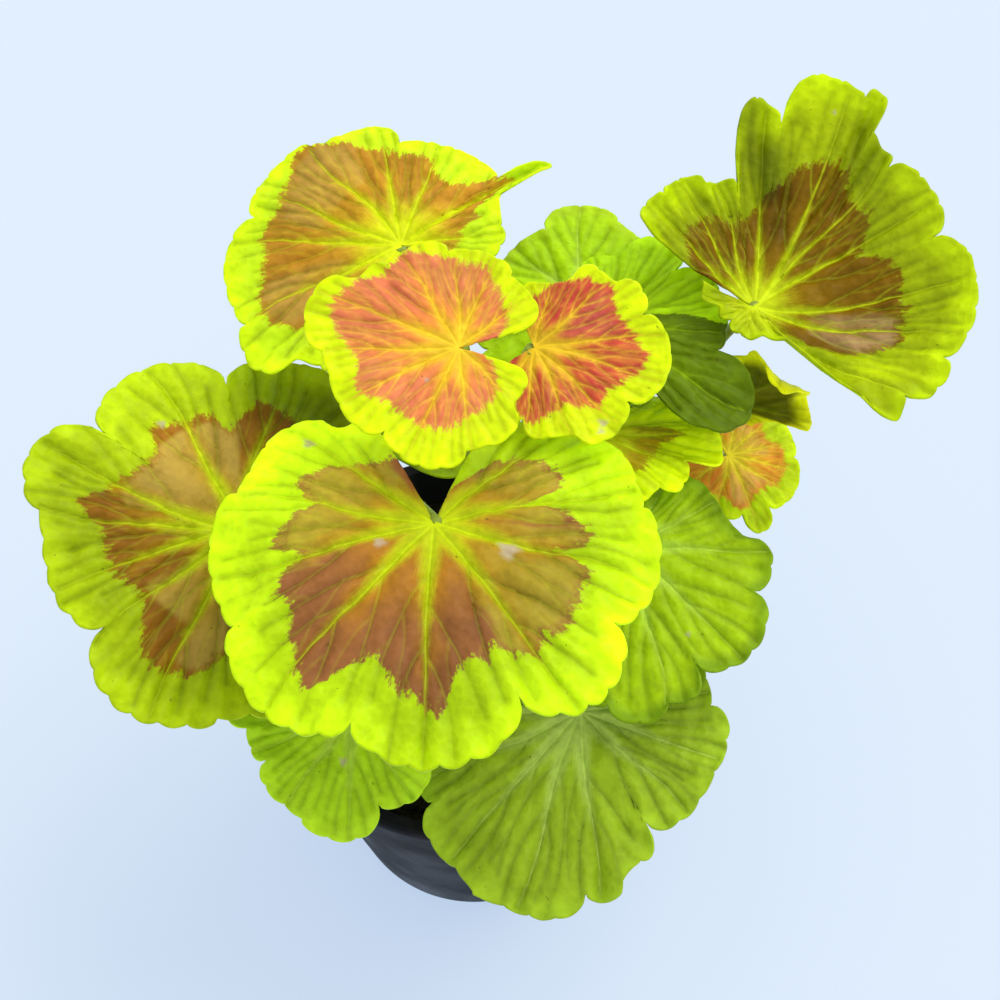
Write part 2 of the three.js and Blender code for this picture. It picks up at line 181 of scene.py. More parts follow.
def new_material(name, roughness, specular):
    """A material with its nodes and the inputs of its shader."""
    material = bpy.data.materials.new(name)
    material.use_nodes = True
    shader = material.node_tree.nodes["Principled BSDF"].inputs
    shader["Roughness"].default_value = roughness
    shader["Specular IOR Level"].default_value = specular
    return material, Nodes(material.node_tree), shader


def new_group(name, colours, numbers, given):
    """A node group that takes colours and numbers, and gives a colour and more numbers."""
    tree = bpy.data.node_groups.new(name, "ShaderNodeTree")
    sockets = [(label, "INPUT", COLOUR) for label in colours]
    sockets += [(label, "INPUT", FLOAT) for label in numbers]
    sockets.append(("Colour", "OUTPUT", COLOUR))
    sockets += [(label, "OUTPUT", FLOAT) for label in given]
    for label, side, kind in sockets:
        tree.interface.new_socket(label, in_out=side, socket_type=kind)
    start = tree.nodes.new("NodeGroupInput").outputs
    end = tree.nodes.new("NodeGroupOutput").inputs
    return Nodes(tree), start, end


# %% [markdown]
# ## Mottle, shared by every finish but the floor's and the blades' faces
# Nothing that grows or is moulded is one flat colour. This group takes a colour and lets it drift
# lighter and darker in soft patches and in fine grain, by amounts that each finish chooses.

# %% Mottle group
mottle, mottle_in, mottle_out = new_group(
    "mottle", ["Colour"], ["Patch size", "Patch", "Grain size", "Grain"], ["Height"]
)
place = mottle.place()
patch = mottle.noise(place, mottle.maths("DIVIDE", 1.0, mottle_in["Patch size"]), 3.0)
grain = mottle.noise(place, mottle.maths("DIVIDE", 1.0, mottle_in["Grain size"]))
drift = mottle.times(mottle.minus(patch, 0.5), mottle_in["Patch"])
fine = mottle.times(mottle.minus(grain, 0.5), mottle_in["Grain"])
gain = mottle.plus(mottle.plus(drift, fine), 1.0)
mottle.feed(mottle.scaled(mottle_in["Colour"], gain), mottle_out["Colour"])
mottle.feed(grain, mottle_out["Height"])


def mottled(nodes, colour, patch_size, patch_share, grain_size, grain_share):
    made = nodes.add("ShaderNodeGroup", {
        "Colour": rgba(colour), "Patch size": patch_size, "Patch": patch_share,
        "Grain size": grain_size, "Grain": grain_share,
    }, node_tree=mottle.tree)
    return made["Colour"], made["Height"]


print("mottle group:", len(mottle.tree.nodes), "nodes")

# %% [markdown]
# ## Shared modelling helpers
# An operator acts on whatever is selected, and the frame's nodes come in selected. So everything is
# deselected first, and each new piece is made the only selected and active object. Pot and soil are
# turned as on a lathe: a filled circle is extruded and resized from station to station.


# %% Modelling helpers
def only(obj):
    if bpy.context.object and bpy.context.object.mode != "OBJECT":
        bpy.ops.object.mode_set(mode="OBJECT")
    bpy.ops.object.select_all(action="DESELECT")
    obj.select_set(True)
    bpy.context.view_layer.objects.active = obj


def added(primitive, **settings):
    bpy.ops.object.select_all(action="DESELECT")
    primitive(**settings)
    return bpy.context.object


def apply_modifiers(obj):
    only(obj)
    for modifier in list(obj.modifiers):
        bpy.ops.object.modifier_apply(modifier=modifier.name)


def apply_place(obj):
    only(obj)
    bpy.ops.object.transform_apply(location=True, rotation=True, scale=True)


def turn_outward(obj):
    """Makes all faces of a closed mesh face outwards."""
    only(obj)
    bpy.ops.object.mode_set(mode="EDIT")
    bpy.ops.mesh.select_all(action="SELECT")
    bpy.ops.mesh.normals_make_consistent(inside=False)
    bpy.ops.object.mode_set(mode="OBJECT")


def lathe(stations, sides):
    """A closed round form through stations of radius and height, in millimetres."""
    radius, height = stations[0]
    obj = added(
        bpy.ops.mesh.primitive_circle_add, vertices=sides, radius=radius * MM, fill_type="NGON",
        location=(0.0, 0.0, height * MM),
    )
    apply_place(obj)
    bpy.ops.object.mode_set(mode="EDIT")
    bpy.ops.mesh.select_all(action="SELECT")
    for (r_below, z_below), (r, z) in zip(stations, stations[1:]):
        bpy.ops.mesh.extrude_region_move(TRANSFORM_OT_translate={"value": (0.0, 0.0, (z - z_below) * MM)})
        share = r / r_below
        bpy.ops.transform.resize(value=(share, share, 1.0), center_override=(0.0, 0.0, z * MM))
    turn_outward(obj)
    return obj


def finish_piece(obj, name, node, materials):
    obj.name = name
    obj.data.name = name
    obj.data.materials.clear()
    for material in materials:
        obj.data.materials.append(material)
    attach(obj, "root")
    if node:
        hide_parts(node)
    print(f"{name}: {len(obj.data.polygons)} faces")


def join(objects):
    only(objects[0])
    for obj in objects[1:]:
        obj.select_set(True)
    bpy.ops.object.join()
    return objects[0]


def mesh_object(name, points, faces, smooth=True):
    """A mesh from points in millimetres."""
    mesh = bpy.data.meshes.new(name)
    mesh.from_pydata((np.array(points) * MM).tolist(), [], faces)
    mesh.update()
    mesh.polygons.foreach_set("use_smooth", [smooth] * len(mesh.polygons))
    obj = bpy.data.objects.new(name, mesh)
    bpy.context.scene.collection.objects.link(obj)
    return obj


# %% [markdown]
# ## The pot
# The real pot is one thin moulding of dark grey plastic: a cone with a small rolled lip and holes
# in its floor. Its stations go up the outside, over the lip and down the inside, and the last face is
# the floor. The holes are cut with a Boolean modifier. The plastic is satin, with faint drag marks.

# %% Pot sizes
POT_HEIGHT = 95.0
POT_RIM_RADIUS = 52.5
POT_BASE_RADIUS = 35.5
POT_WALL = 1.5
POT_LIP = 2.4
POT_FLOOR = 1.8
LIP_DEPTH = 5.0
DRAIN_HOLES = 6
DRAIN_RADIUS = 4.0
DRAIN_CIRCLE = 25.0
DRILL_LENGTH = 6.0 * POT_FLOOR
POT_SIDES = 128
SHARP_ANGLE = math.radians(35.0)


def pot_radius(z):
    """Radius of the pot's outer wall at a height."""
    return POT_BASE_RADIUS + (POT_RIM_RADIUS - POT_LIP - POT_BASE_RADIUS) * z / POT_HEIGHT


# %% Pot shape
lip_foot = POT_HEIGHT - LIP_DEPTH
pot_stations = [(POT_BASE_RADIUS - 2.0, 0.0), (POT_BASE_RADIUS - 0.7, 0.5), (POT_BASE_RADIUS, 2.0)]
pot_stations += [(pot_radius(z), z) for z in (20.0, 40.0, 60.0, 80.0, lip_foot - 1.5)]
pot_stations += [
    (pot_radius(lip_foot) + 0.9, lip_foot - 0.7),
    (POT_RIM_RADIUS - 0.6, lip_foot),
    (POT_RIM_RADIUS - 0.2, lip_foot + 1.0),
    (POT_RIM_RADIUS, POT_HEIGHT - 1.5),
    (POT_RIM_RADIUS - 0.3, POT_HEIGHT - 0.5),
    (POT_RIM_RADIUS - 1.0, POT_HEIGHT),
    (pot_radius(POT_HEIGHT) - POT_WALL + 0.6, POT_HEIGHT - 0.1),
    (pot_radius(POT_HEIGHT) - POT_WALL, POT_HEIGHT - 1.2),
]
pot_stations += [(pot_radius(z) - POT_WALL, z) for z in (80.0, 40.0, POT_FLOOR + 1.0)]
pot_stations.append((pot_radius(0.0) - POT_WALL - 1.5, POT_FLOOR))
pot_piece = lathe(pot_stations, POT_SIDES)

for i in range(DRAIN_HOLES):
    turn = 2.0 * math.pi * (i + 0.5) / DRAIN_HOLES
    spot = (DRAIN_CIRCLE * MM * math.cos(turn), DRAIN_CIRCLE * MM * math.sin(turn), POT_FLOOR * MM / 2.0)
    drill = added(
        bpy.ops.mesh.primitive_cylinder_add, vertices=32, radius=DRAIN_RADIUS * MM,
        depth=DRILL_LENGTH * MM, location=spot,
    )
    cut = pot_piece.modifiers.new("drain", "BOOLEAN")
    cut.object = drill
    cut.operation = "DIFFERENCE"
    apply_modifiers(pot_piece)
    bpy.data.objects.remove(drill)
only(pot_piece)
bpy.ops.object.shade_smooth_by_angle(angle=SHARP_ANGLE)

# %% Pot plastic
pot_plastic, nodes, shader = new_material("pot_plastic", 0.42, 0.012)
colour = mottled(nodes, (0.011, 0.0115, 0.0145), 0.03, 0.35, 0.0006, 0.12)[0]
place = nodes.place()
dust = nodes.stepped(nodes.noise(place, 90.0, 4.0), 0.52, 0.8)
dusty = nodes.mixed(nodes.times(dust, 0.10), colour, rgba((0.16, 0.14, 0.12)))
nodes.feed(dusty, shader["Base Color"])
nodes.feed(nodes.stepped(nodes.noise(place, 60.0, 3.0), 0.3, 0.7, 0.28, 0.44), shader["Roughness"])
flattened = nodes.add("ShaderNodeMapping", {"Vector": place, "Scale": (160.0, 160.0, 1400.0)})[0]
nodes.bump(shader, nodes.noise(flattened, 1.0, 3.0), 0.12, 0.0002)
finish_piece(pot_piece, "pot_moulding", "pot", [pot_plastic])

# %% [markdown]
# ## The soil
# Dark potting mix fills the pot to a finger's width below its lip. It is turned like the pot, with
# many rings on its flat top, and the points of the top are then raised and lowered by a sum of waves.
# Loose crumbs lie on it: one icosphere, squashed anew for each copy.

# %% Soil body
SOIL_LEVEL = 83.0
CLEARANCE = 0.3
STEM_RADIUS = 4.4
STEM_HOLE_DEPTH = 22.0
SOIL_RINGS = 52
SOIL_SIDES = 160

soil_hole = STEM_RADIUS + CLEARANCE
soil_edge = pot_radius(SOIL_LEVEL) - POT_WALL - CLEARANCE
soil_floor = POT_FLOOR + CLEARANCE
soil_stations = [(soil_hole, SOIL_LEVEL - STEM_HOLE_DEPTH)]
for i in range(SOIL_RINGS + 1):
    soil_stations.append((soil_hole + (soil_edge - soil_hole) * i / SOIL_RINGS, SOIL_LEVEL))
soil_stations.append((pot_radius(soil_floor) - POT_WALL - CLEARANCE - 1.2, soil_floor))
soil_piece = lathe(soil_stations, SOIL_SIDES)


# %% Soil relief and crumbs
CRUMBS = 620
CRUMB_BELT = (0.03, 0.94)
CRUMB_SMALLEST = 0.35
CRUMB_RANGE = 1.1
CRUMB_LIFT = 0.1


def crumb_height(x, y):
    coarse = math.sin(0.41 * x + 1.3) * math.cos(0.37 * y - 0.6)
    middle = math.sin(1.13 * x - 0.4 * y) * math.sin(0.93 * y + 0.7 * x + 2.0)
    finest = math.sin(2.9 * x + 1.7 * y + 0.4) * math.sin(2.3 * y - 1.9 * x)
    return 0.55 * coarse + 0.4 * middle + 0.35 * finest


for vertex in soil_piece.data.vertices:
    x, y, z = (v / MM for v in vertex.co)
    out = math.hypot(x, y)
    if z > SOIL_LEVEL - 0.5 and soil_hole + 0.4 < out < soil_edge - 0.2:
        vertex.co.z = (SOIL_LEVEL + crumb_height(x, y)) * MM

dice = random.Random(11)
crumb_model = added(bpy.ops.mesh.primitive_ico_sphere_add, subdivisions=1, radius=1.0)
crumb_points = np.array([v.co[:] for v in crumb_model.data.vertices])
crumb_faces = [tuple(f.vertices) for f in crumb_model.data.polygons]
bpy.data.objects.remove(crumb_model)
all_points = []
all_faces = []
for i in range(CRUMBS):
    out = soil_edge * math.sqrt(dice.uniform(*CRUMB_BELT))
    turn = dice.uniform(0.0, 2.0 * math.pi)
    x, y = out * math.cos(turn), out * math.sin(turn)
    size = CRUMB_SMALLEST + CRUMB_RANGE * dice.random() ** 3
    squash = np.array([dice.uniform(0.7, 1.3), dice.uniform(0.7, 1.3), dice.uniform(0.5, 0.9)])
    lumpy = crumb_points * squash * size * np.array([[dice.uniform(0.8, 1.2)] for _ in crumb_points])
    lift = SOIL_LEVEL + crumb_height(x, y) + CRUMB_LIFT * size
    first = len(all_points)
    all_points.extend(lumpy + np.array([x, y, lift]))
    all_faces.extend([tuple(first + k for k in face) for face in crumb_faces])
crumbs = mesh_object("crumbs", all_points, all_faces, smooth=False)
soil_piece = join([soil_piece, crumbs])

# %% Soil finish
soil_finish, nodes, shader = new_material("soil_finish", 0.95, 0.2)
colour, height = mottled(nodes, (0.016, 0.012, 0.009), 0.006, 1.1, 0.0007, 0.9)
fibre = nodes.stepped(nodes.noise(nodes.place(), 700.0, 3.0), 0.62, 0.7)
fibred = nodes.mixed(nodes.times(fibre, 0.5), colour, rgba((0.07, 0.045, 0.025)))
nodes.feed(fibred, shader["Base Color"])
nodes.bump(shader, height, 0.8, 0.0006)
finish_piece(soil_piece, "potting_soil", "soil", [soil_finish])

# %% [markdown]
# ## Tubes for stem and stalks
# Stem and stalks are round tubes along a curve, with a radius that changes on the way. No primitive
# bends like that, so a helper carries a ring of points along the curve, keeps it from twisting, and
# closes both ends.


# %% Tube helper
def unit(vectors):
    return vectors / np.linalg.norm(vectors, axis=-1, keepdims=True)


def tube_object(name, path, radii, sides, ridges=0.0):
    tangents = unit(np.gradient(path, axis=0))
    side = unit(np.cross(tangents[0], [0.3, 0.9, 0.1]))
    points = []
    for i, tangent in enumerate(tangents):
        side = unit(side - tangent * np.dot(side, tangent))
        other = np.cross(tangent, side)
        for k in range(sides):
            turn = 2.0 * math.pi * k / sides
            r = radii[i] * (1.0 + ridges * math.cos(5.0 * turn))
            points.append(path[i] + r * (math.cos(turn) * side + math.sin(turn) * other))
    faces = []
    for i in range(len(path) - 1):
        for k in range(sides):
            a, b = i * sides + k, i * sides + (k + 1) % sides
            faces.append((a, b, b + sides, a + sides))
    faces.append(tuple(range(sides - 1, -1, -1)))
    last = (len(path) - 1) * sides
    faces.append(tuple(last + k for k in range(sides)))
    return mesh_object(name, points, faces)


def bezier(controls, count):
    t = np.linspace(0.0, 1.0, count)[:, None]
    a, b, c, d = (np.array(p, float) for p in controls)
    return (1 - t) ** 3 * a + 3 * (1 - t) ** 2 * t * b + 3 * (1 - t) * t ** 2 * c + t ** 3 * d


# %% [markdown]
# ## The colours of the leaves
# An old leaf is gold-green with a mauve-brown shield, a young one lime with salmon, and the ones in
# the shade are plain green. All colours here are linear, as the shader mixes them.

# %% Colours that have a name
LIME = (0.62, 0.87, 0.004)
PALE_GREEN = (0.42, 0.64, 0.012)
MAUVE_BROWN = (0.27, 0.104, 0.030)
RUST = (0.42, 0.19, 0.003)
SALMON = (0.73, 0.19, 0.078)
CORAL = (0.59, 0.060, 0.046)
GREEN_YELLOW = (0.52, 0.64, 0.006)
YELLOW = (0.90, 0.62, 0.025)
PALE_VEIN = (0.56, 0.80, 0.08)

# %% [markdown]
# ## The leaves' measures
# Each leaf is described as in the frame, in millimetres and degrees. Its stalk leaves the stem at the
# height called node and meets the blade at the place called at. Tip is the bearing of the blade's own
# zero, lean its slope along x and y, span its reach, and dome and waves bend it. A wave is a count
# round the blade, a height and a bearing. A curl rolls it over beyond a line: bearing, distance and
# radius. Arrival and sway steer a stalk. Lobes start at first, where the rim's reach is neck, and
# each has a width, a reach, and the reach of the notch after it.
# Veins are pairs of bearings, where a main vein sets out and where it meets the rim. The zone is a
# line of bearings and reaches round the brown shield. A tint is a paler stretch of the zone: middle
# bearing, half width, inner and outer reach. Marks are small scars: bearing, reach and radius. The
# spots of painted light and tone are soft rounds that are deeper or paler than the rest: bearing,
# reach, radius and amount. Most are painted shade in folds and hollows, or painted light where a
# blade lies in another's shadow; a few are the blade's own tone. Then come the colours, with back for
# the underside. Margin is the width of the rim's colour, halo widens or narrows the vein's colour
# beside the main veins, and heart is the share of the span that its middle takes.

# %% What a leaf has unless it says otherwise
PLAIN = dict(
    dome=0.0, waves=(), curls=(), zone=(), tints=(), marks=(), tones=(), sway=(0.0, 0.0, 0.0), halo=1.0,
    heart=0.15,
)
LEAVES = []


def grow(name, slot, **measures):
    green = measures["lamina"]
    colours = dict(zone_colour=green, tint_colour=green, warm=green, back=[0.55 * v + 0.03 for v in green])
    LEAVES.append(dict(name=name, slot=slot, **(PLAIN | colours | measures)))


# %% Three large golden leaves
grow(
    "leaf_front", "golden_leaf", at=(-6.2, -12, 168), tip=-95, lean=(0.03, 0.02), span=47, dome=-0.1,
    waves=[(3, 0.02, 40)], first=-147, neck=24, node=141.5,
    lobes=[(14, 32, 34), (36, 43, 43), (41, 47, 46), (41, 51.5, 46), (44, 51.5, 43), (34, 50.5, 43),
        (38, 47, 44), (27, 44, 37.5), (15, 37.5, 33), (18, 31, 24)],
    veins=[(-122, -124), (-94, -97), (-70, -72), (-42, -36), (0, 3), (42, 41), (80, 79), (108, 108),
        (141, 137)],
    zone=[(-147, 18), (-140, 19), (-130, 21), (-124, 23.5), (-118, 28), (-108, 31), (-101, 29.5),
        (-97, 24.5), (-91, 29.5), (-85, 32), (-78, 34), (-74, 30), (-71, 27), (-67, 32), (-60, 35.5),
        (-52, 33.5), (-45, 38), (-38, 40), (-31, 44), (-27, 40), (-22, 34.5), (-15, 32), (-10, 34.5),
        (-6, 37), (0, 38), (7, 41.8), (10, 38), (14, 33), (20, 31.5), (24, 33.5), (29, 30.5), (34, 34.5),
        (41, 36.5), (47, 34), (53, 36.5), (58, 35), (64, 35), (71, 33.5), (77, 34), (80, 29), (82, 25),
        (86, 31), (90, 33.5), (97, 29.5), (103, 26), (106, 19), (109, 19), (113, 28), (120, 29), (126, 28),
        (135, 24), (144, 20), (150, 14), (160, 8)],
    tints=[(-104, 33, 7, 37), (62, 26, 8, 40), (122, 24, 5, 26)],
    marks=[(71, 16.6, 2.1), (-123, 34.5, 1.3), (-154, 13, 0.8), (-60, 12, 1.2)],
    tones=[(60, 27, 9, -0.12), (62, 44, 10, 0.3), (-122, 30, 17, 0.8), (2, 48, 14, -0.2),
        (130, 34, 12, 0.4), (10, 30, 9, -0.15)],
    lamina=(0.41, 0.63, 0.003), rim=(0.53, 0.8, 0.003), zone_colour=MAUVE_BROWN,
    tint_colour=(0.35, 0.275, 0.022), warm=RUST, vein=GREEN_YELLOW, margin=9.0,
)
grow(
    "leaf_left", "golden_leaf", at=(-50.6, 3.7, 140), tip=180, lean=(-0.32, 0.15), span=44, dome=-0.06,
    waves=[(3, 0.02, 0)], first=-150, neck=26, node=108,
    lobes=[(71, 47, 36), (51, 45, 37), (32, 49, 44), (42, 43, 38), (44, 48.5, 45), (60, 44, 28)],
    veins=[(-124, -122), (-95, -97), (-62, -56), (14, -18), (20, 3), (22, 28), (46, 48), (72, 73),
        (104, 106), (136, 136)],
    zone=[(-150, 24), (-110, 30.5), (-98, 32), (-92, 32.5), (-86, 29), (-82, 26), (-78, 24.5), (-72, 28),
        (-65, 30), (-60, 28), (-52, 29.5), (-44, 31.5), (-40, 29), (-37, 26), (-28, 26), (-21, 27),
        (-13, 29), (-7, 31), (-3, 35), (0, 36.8), (3, 34.5), (6, 33), (9, 31), (18, 30), (28, 30), (35, 29),
        (40, 28), (44, 27), (49, 29), (55, 32.5), (61, 36), (67, 37.4), (74, 36.5), (79, 37), (82, 35),
        (88, 31.5), (94, 29), (150, 24)],
    tints=[(-44, 36, 5, 25), (66, 20, 6, 24), (86, 9, 20, 33)],
    marks=[(-48, 30, 0.9)],
    tones=[(-100, 22, 12, -0.15), (-116, 38, 8, -0.35), (-128, 36, 11, -0.4), (-50, 28, 16, 0.45),
        (10, 42, 14, -0.1)],
    lamina=(0.32, 0.44, 0.002), rim=(0.41, 0.57, 0.003), zone_colour=(0.235, 0.098, 0.006),
    tint_colour=(0.34, 0.225, 0.035), warm=(0.36, 0.22, 0.004), vein=GREEN_YELLOW, margin=7.0,
)
grow(
    "leaf_back_left", "golden_leaf", at=(-15.4, 62.1, 168), tip=160, lean=(0.1, 0.15), span=40, dome=-0.05,
    first=-184, neck=12, node=147,
    lobes=[(51, 24, 27), (8, 40.5, 28), (56, 28.5, 28), (36, 35, 36.5), (37, 39.5, 36.5), (44, 41.5, 40),
        (22, 44, 39), (18, 35, 31), (50, 31, 22)],
    veins=[(-156, -156), (-128, -128), (-92, -88), (-64, -60), (-40, -32), (-6, -6), (12, 14), (46, 47),
        (76, 80), (110, 112), (145, 145)],
    zone=[(-184, 12), (-150, 14.5), (-142, 18.6), (-135, 19.4), (-128, 31), (-121, 24.4), (-112, 20.6),
        (-102, 19.6), (-94, 20.4), (-86, 24), (-77, 24.6), (-68, 24.8), (-60, 26.8), (-53, 28.4), (-46, 32),
        (-38, 34.6), (-30, 38), (-24, 37), (-18, 34.4), (-10, 33.4), (-3, 31.4), (5, 32.2), (14, 33.2),
        (21, 31.8), (28, 32.5), (36, 34), (43, 35.8), (48, 35.4), (55, 33.6), (63, 30), (80, 28), (150, 22)],
    tints=[(45, 8, 14, 36), (-20, 20, 20, 34)],
    tones=[(-45, 24, 12, 0.15), (-112, 20, 11, 0.28)],
    lamina=(0.5, 0.74, 0.008), rim=LIME, zone_colour=(0.43, 0.2, 0.014), tint_colour=(0.44, 0.26, 0.04),
    warm=(0.52, 0.3, 0.01), vein=(0.66, 0.78, 0.006), margin=5.0, heart=0.27,
)

# %% Three bright young leaves
grow(
    "leaf_centre_left", "bright_leaf", at=(-1, 15.9, 190), tip=180, lean=(-0.04, 0.43), span=28, dome=0.05,
    first=-165, neck=12, node=169,
    lobes=[(40, 18.5, 18.5), (42, 20.5, 19.8), (35, 23, 22), (18, 24.5, 27), (34, 32, 28), (47, 27, 23.5),
        (44, 26, 22), (37, 21.5, 17), (30, 16, 12)],
    veins=[(-138, -144), (-104, -112), (-92, -88), (-62, -57), (-26, -20), (4, 4), (22, 28), (68, 66),
        (95, 98), (138, 136)],
    zone=[(-165, 9), (-154, 10.4), (-145, 12.4), (-135, 13), (-126, 14.8), (-118, 15), (-108, 17.8),
        (-98, 17.4), (-88, 17.8), (-78, 19.5), (-68, 21.4), (-60, 22.8), (-52, 22.6), (-44, 21.4),
        (-38, 23.3), (-31, 24.9), (-24, 26.3), (-17, 27.6), (-10, 26.2), (-3, 24.6), (4, 21.6), (12, 21.2),
        (20, 22.2), (27, 22), (34, 20.4), (42, 19), (52, 18.2), (60, 18.8), (70, 18.2), (80, 17.6),
        (90, 16.6), (98, 14.6), (110, 14.4), (122, 12.8), (134, 11.8), (146, 9.4), (160, 7)],
    tints=[(30, 16, 5, 20), (-80, 20, 6, 18), (115, 18, 4, 13)],
    marks=[(48, 9.5, 0.5)],
    lamina=(0.66, 0.86, 0.002), rim=(0.68, 0.88, 0.002), zone_colour=SALMON, tint_colour=(0.76, 0.22, 0.09),
    warm=(0.84, 0.3, 0.03), vein=YELLOW, margin=4.0,
)
grow(
    "leaf_centre_right", "bright_leaf", at=(14.4, 23.5, 180), tip=0, lean=(0.05, 0.5), span=24, dome=0.05,
    first=-150, neck=9, node=160,
    lobes=[(50, 17, 16), (34, 19.8, 22), (33, 25.2, 23), (47, 28.8, 24), (22, 25.8, 22.5), (24, 21.5, 17),
        (50, 14, 8)],
    veins=[(-126, -126), (-95, -98), (-60, -68), (-40, -44), (-4, -18), (8, 3), (40, 38), (76, 74),
        (108, 104)],
    zone=[(-150, 6.7), (-136, 8.2), (-122, 9.4), (-112, 11.4), (-103, 15.4), (-92, 16.4), (-80, 15.4),
        (-70, 13.9), (-62, 14.6), (-54, 16.4), (-46, 18.2), (-40, 19.2), (-33, 18.2), (-26, 19.8),
        (-19, 21.7), (-12, 23.6), (-7, 24.8), (-2, 22.4), (5, 21.2), (13, 19.8), (20, 18.6), (28, 19.4),
        (35, 21.4), (43, 19.2), (52, 18.6), (61, 16.2), (72, 13.9), (84, 11.2), (100, 10.6), (130, 8)],
    tints=[(22, 12, 5, 18), (-60, 14, 6, 13)],
    marks=[(-50, 21.6, 0.9), (-54, 22.8, 0.7)],
    lamina=(0.66, 0.86, 0.002), rim=(0.68, 0.88, 0.002), zone_colour=CORAL, tint_colour=(0.58, 0.1, 0.07),
    warm=(0.66, 0.13, 0.03), vein=YELLOW, margin=4.0,
)
grow(
    "leaf_orange", "bright_leaf", at=(62.7, 36.1, 120), tip=-20, lean=(-0.05, 0.14), span=16, dome=-0.05,
    first=-150, neck=9, node=103.5,
    lobes=[(50, 17, 16), (40, 17, 16), (25, 21, 16.5), (55, 18.5, 16.5), (50, 17.5, 15.5), (40, 16, 14),
        (40, 15, 9)],
    veins=[(-118, -122), (-78, -82), (-42, -50), (-12, -16), (10, 9), (34, 36), (62, 66), (96, 98),
        (130, 130)],
    zone=[(-150, 12), (-126, 15.6), (-112, 12.6), (-98, 11.4), (-84, 11.3), (-74, 11.8), (-64, 14.4),
        (-56, 14.8), (-48, 13.6), (-40, 12.4), (-30, 11.8), (-20, 12.4), (-12, 13.9), (0, 14), (10, 14.1),
        (20, 14.3), (30, 13.8), (40, 12), (50, 10.9), (60, 11.2), (70, 13.8), (82, 13.6), (100, 12),
        (150, 9)],
    tints=[(-42, 24, 4, 12.5), (55, 30, 2, 8)],
    tones=[(0, 6, 14, 0.35)],
    lamina=(0.5, 0.72, 0.003), rim=(0.62, 0.84, 0.004), zone_colour=(0.74, 0.21, 0.03),
    tint_colour=(0.74, 0.36, 0.1), warm=(0.66, 0.38, 0.012), vein=(0.78, 0.62, 0.03), margin=3.0,
)

# %% Leaves of the right side
grow(
    "leaf_far_right", "golden_leaf", at=(64.6, 46.6, 165), tip=45, lean=(-0.05, 0.15), span=46, dome=0.4,
    curls=[(-115, 27, -13)], first=-245, neck=14, node=90, arrival=(0.08, -0.2, 0.95), sway=(-2, 11, 0),
    lobes=[(24, 12.5, 10.5), (30, 8.8, 7.5), (89, 8.5, 13), (11, 45, 41), (16, 45.5, 42), (45, 45, 39),
        (29, 43.5, 40.5), (10, 43, 43.5), (7, 50.5, 48.6), (21, 49.8, 40), (16.5, 44, 27.5),
        (14.5, 29, 29.5), (20, 32.5, 31.5), (18, 32.5, 27)],
    veins=[(-232, -232), (-205, -205), (-160, -160), (-112, -90), (-76, -66), (-62, -46), (-4, -19), (2, 2),
        (4, 20), (36, 42), (64, 62), (78, 78), (94, 94)],
    zone=[(-245, 6), (-180, 3), (-130, 3), (-104, 6), (-93, 14), (-84, 24), (-77, 29), (-70, 33.4),
        (-63, 31.6), (-54, 32), (-46, 31.2), (-38, 32), (-30, 30.6), (-22, 25.8), (-15, 28.2), (-8, 32),
        (0, 31.4), (8, 34.6), (14, 36.2), (21, 35), (27, 32.6), (33, 29), (40, 25), (50, 21), (60, 19.4),
        (70, 21.8), (80, 23.2), (92, 22.6), (112, 14)],
    tints=[(-70, 8, 14, 30)],
    marks=[(22, 44, 0.5), (-100, 12, 0.4)],
    tones=[(41, 32, 4.5, -0.6), (36, 26, 4, -0.55), (30, 19, 4, -0.4), (49, 41, 6, -0.42), (40, 40, 3, 0.4),
        (-99, 31, 3.5, -0.3), (-88, 31, 6, 0.7), (26, 43, 9, 0.45), (5, 38, 6, -0.3), (8, 44, 5, -0.25),
        (84, 28, 7, 0.25), (-78, 40, 6, 0.3), (-60, 42, 8, 0.15)],
    lamina=(0.28, 0.37, 0.001), rim=(0.42, 0.58, 0.001), zone_colour=(0.17, 0.088, 0.001),
    tint_colour=(0.36, 0.22, 0.09), warm=(0.24, 0.14, 0.001), vein=(0.56, 0.68, 0.008), margin=6.0,
    halo=0.6, heart=0.18,
)
# This leaf's zone is no brown shield but painted shade: a dark green over its lower blade where the far right
# leaf's shadow falls, with its tint and warm colours darker greens of the same shade.
grow(
    "leaf_mid_right", "dark_leaf", at=(31.3, 46.7, 157), tip=-5, lean=(0.12, 0.1), span=34, dome=-0.05,
    waves=[(3, 0.03, 20)], first=-120, neck=14, node=131,
    lobes=[(35, 20, 19), (30, 22, 20), (42, 39, 27), (57, 28, 22), (36, 28, 22), (34, 20, 15)],
    veins=[(-100, -102), (-68, -66), (-34, -31), (0, -2), (30, 26), (52, 54), (82, 84), (108, 106)],
    zone=[(-120, 40), (-15, 44), (0, 32), (14, 14), (30, 4), (114, 2)],
    lamina=(0.44, 0.76, 0.002), rim=(0.46, 0.8, 0.002), zone_colour=(0.1, 0.165, 0.001),
    tint_colour=(0.12, 0.21, 0.001), warm=(0.15, 0.26, 0.001), vein=(0.3, 0.48, 0.004), margin=4.0,
)
# Its lamina and back are painted shade: a dark olive for a leaf that stands in the shadow of the far right
# leaf.
grow(
    "leaf_curled", "dark_leaf", at=(62.5, 42, 134), tip=-118, lean=(-6, -12), span=20, waves=[(6, 0.03, 0)],
    curls=[(28, 20.5, -3)], first=-150, neck=8, node=112.5,
    lobes=[(50, 10, 11), (50, 14, 14), (54, 18, 20), (48, 25.5, 21.5), (42, 20.5, 14), (56, 8, 7)],
    veins=[(-125, -125), (-75, -75), (-26, -26), (28, 28), (72, 72), (120, 120)],
    lamina=(0.13, 0.14, 0.001), rim=(0.95, 1.0, 0.004), vein=(0.22, 0.26, 0.002), back=(0.13, 0.14, 0.002),
    margin=5.5,
)
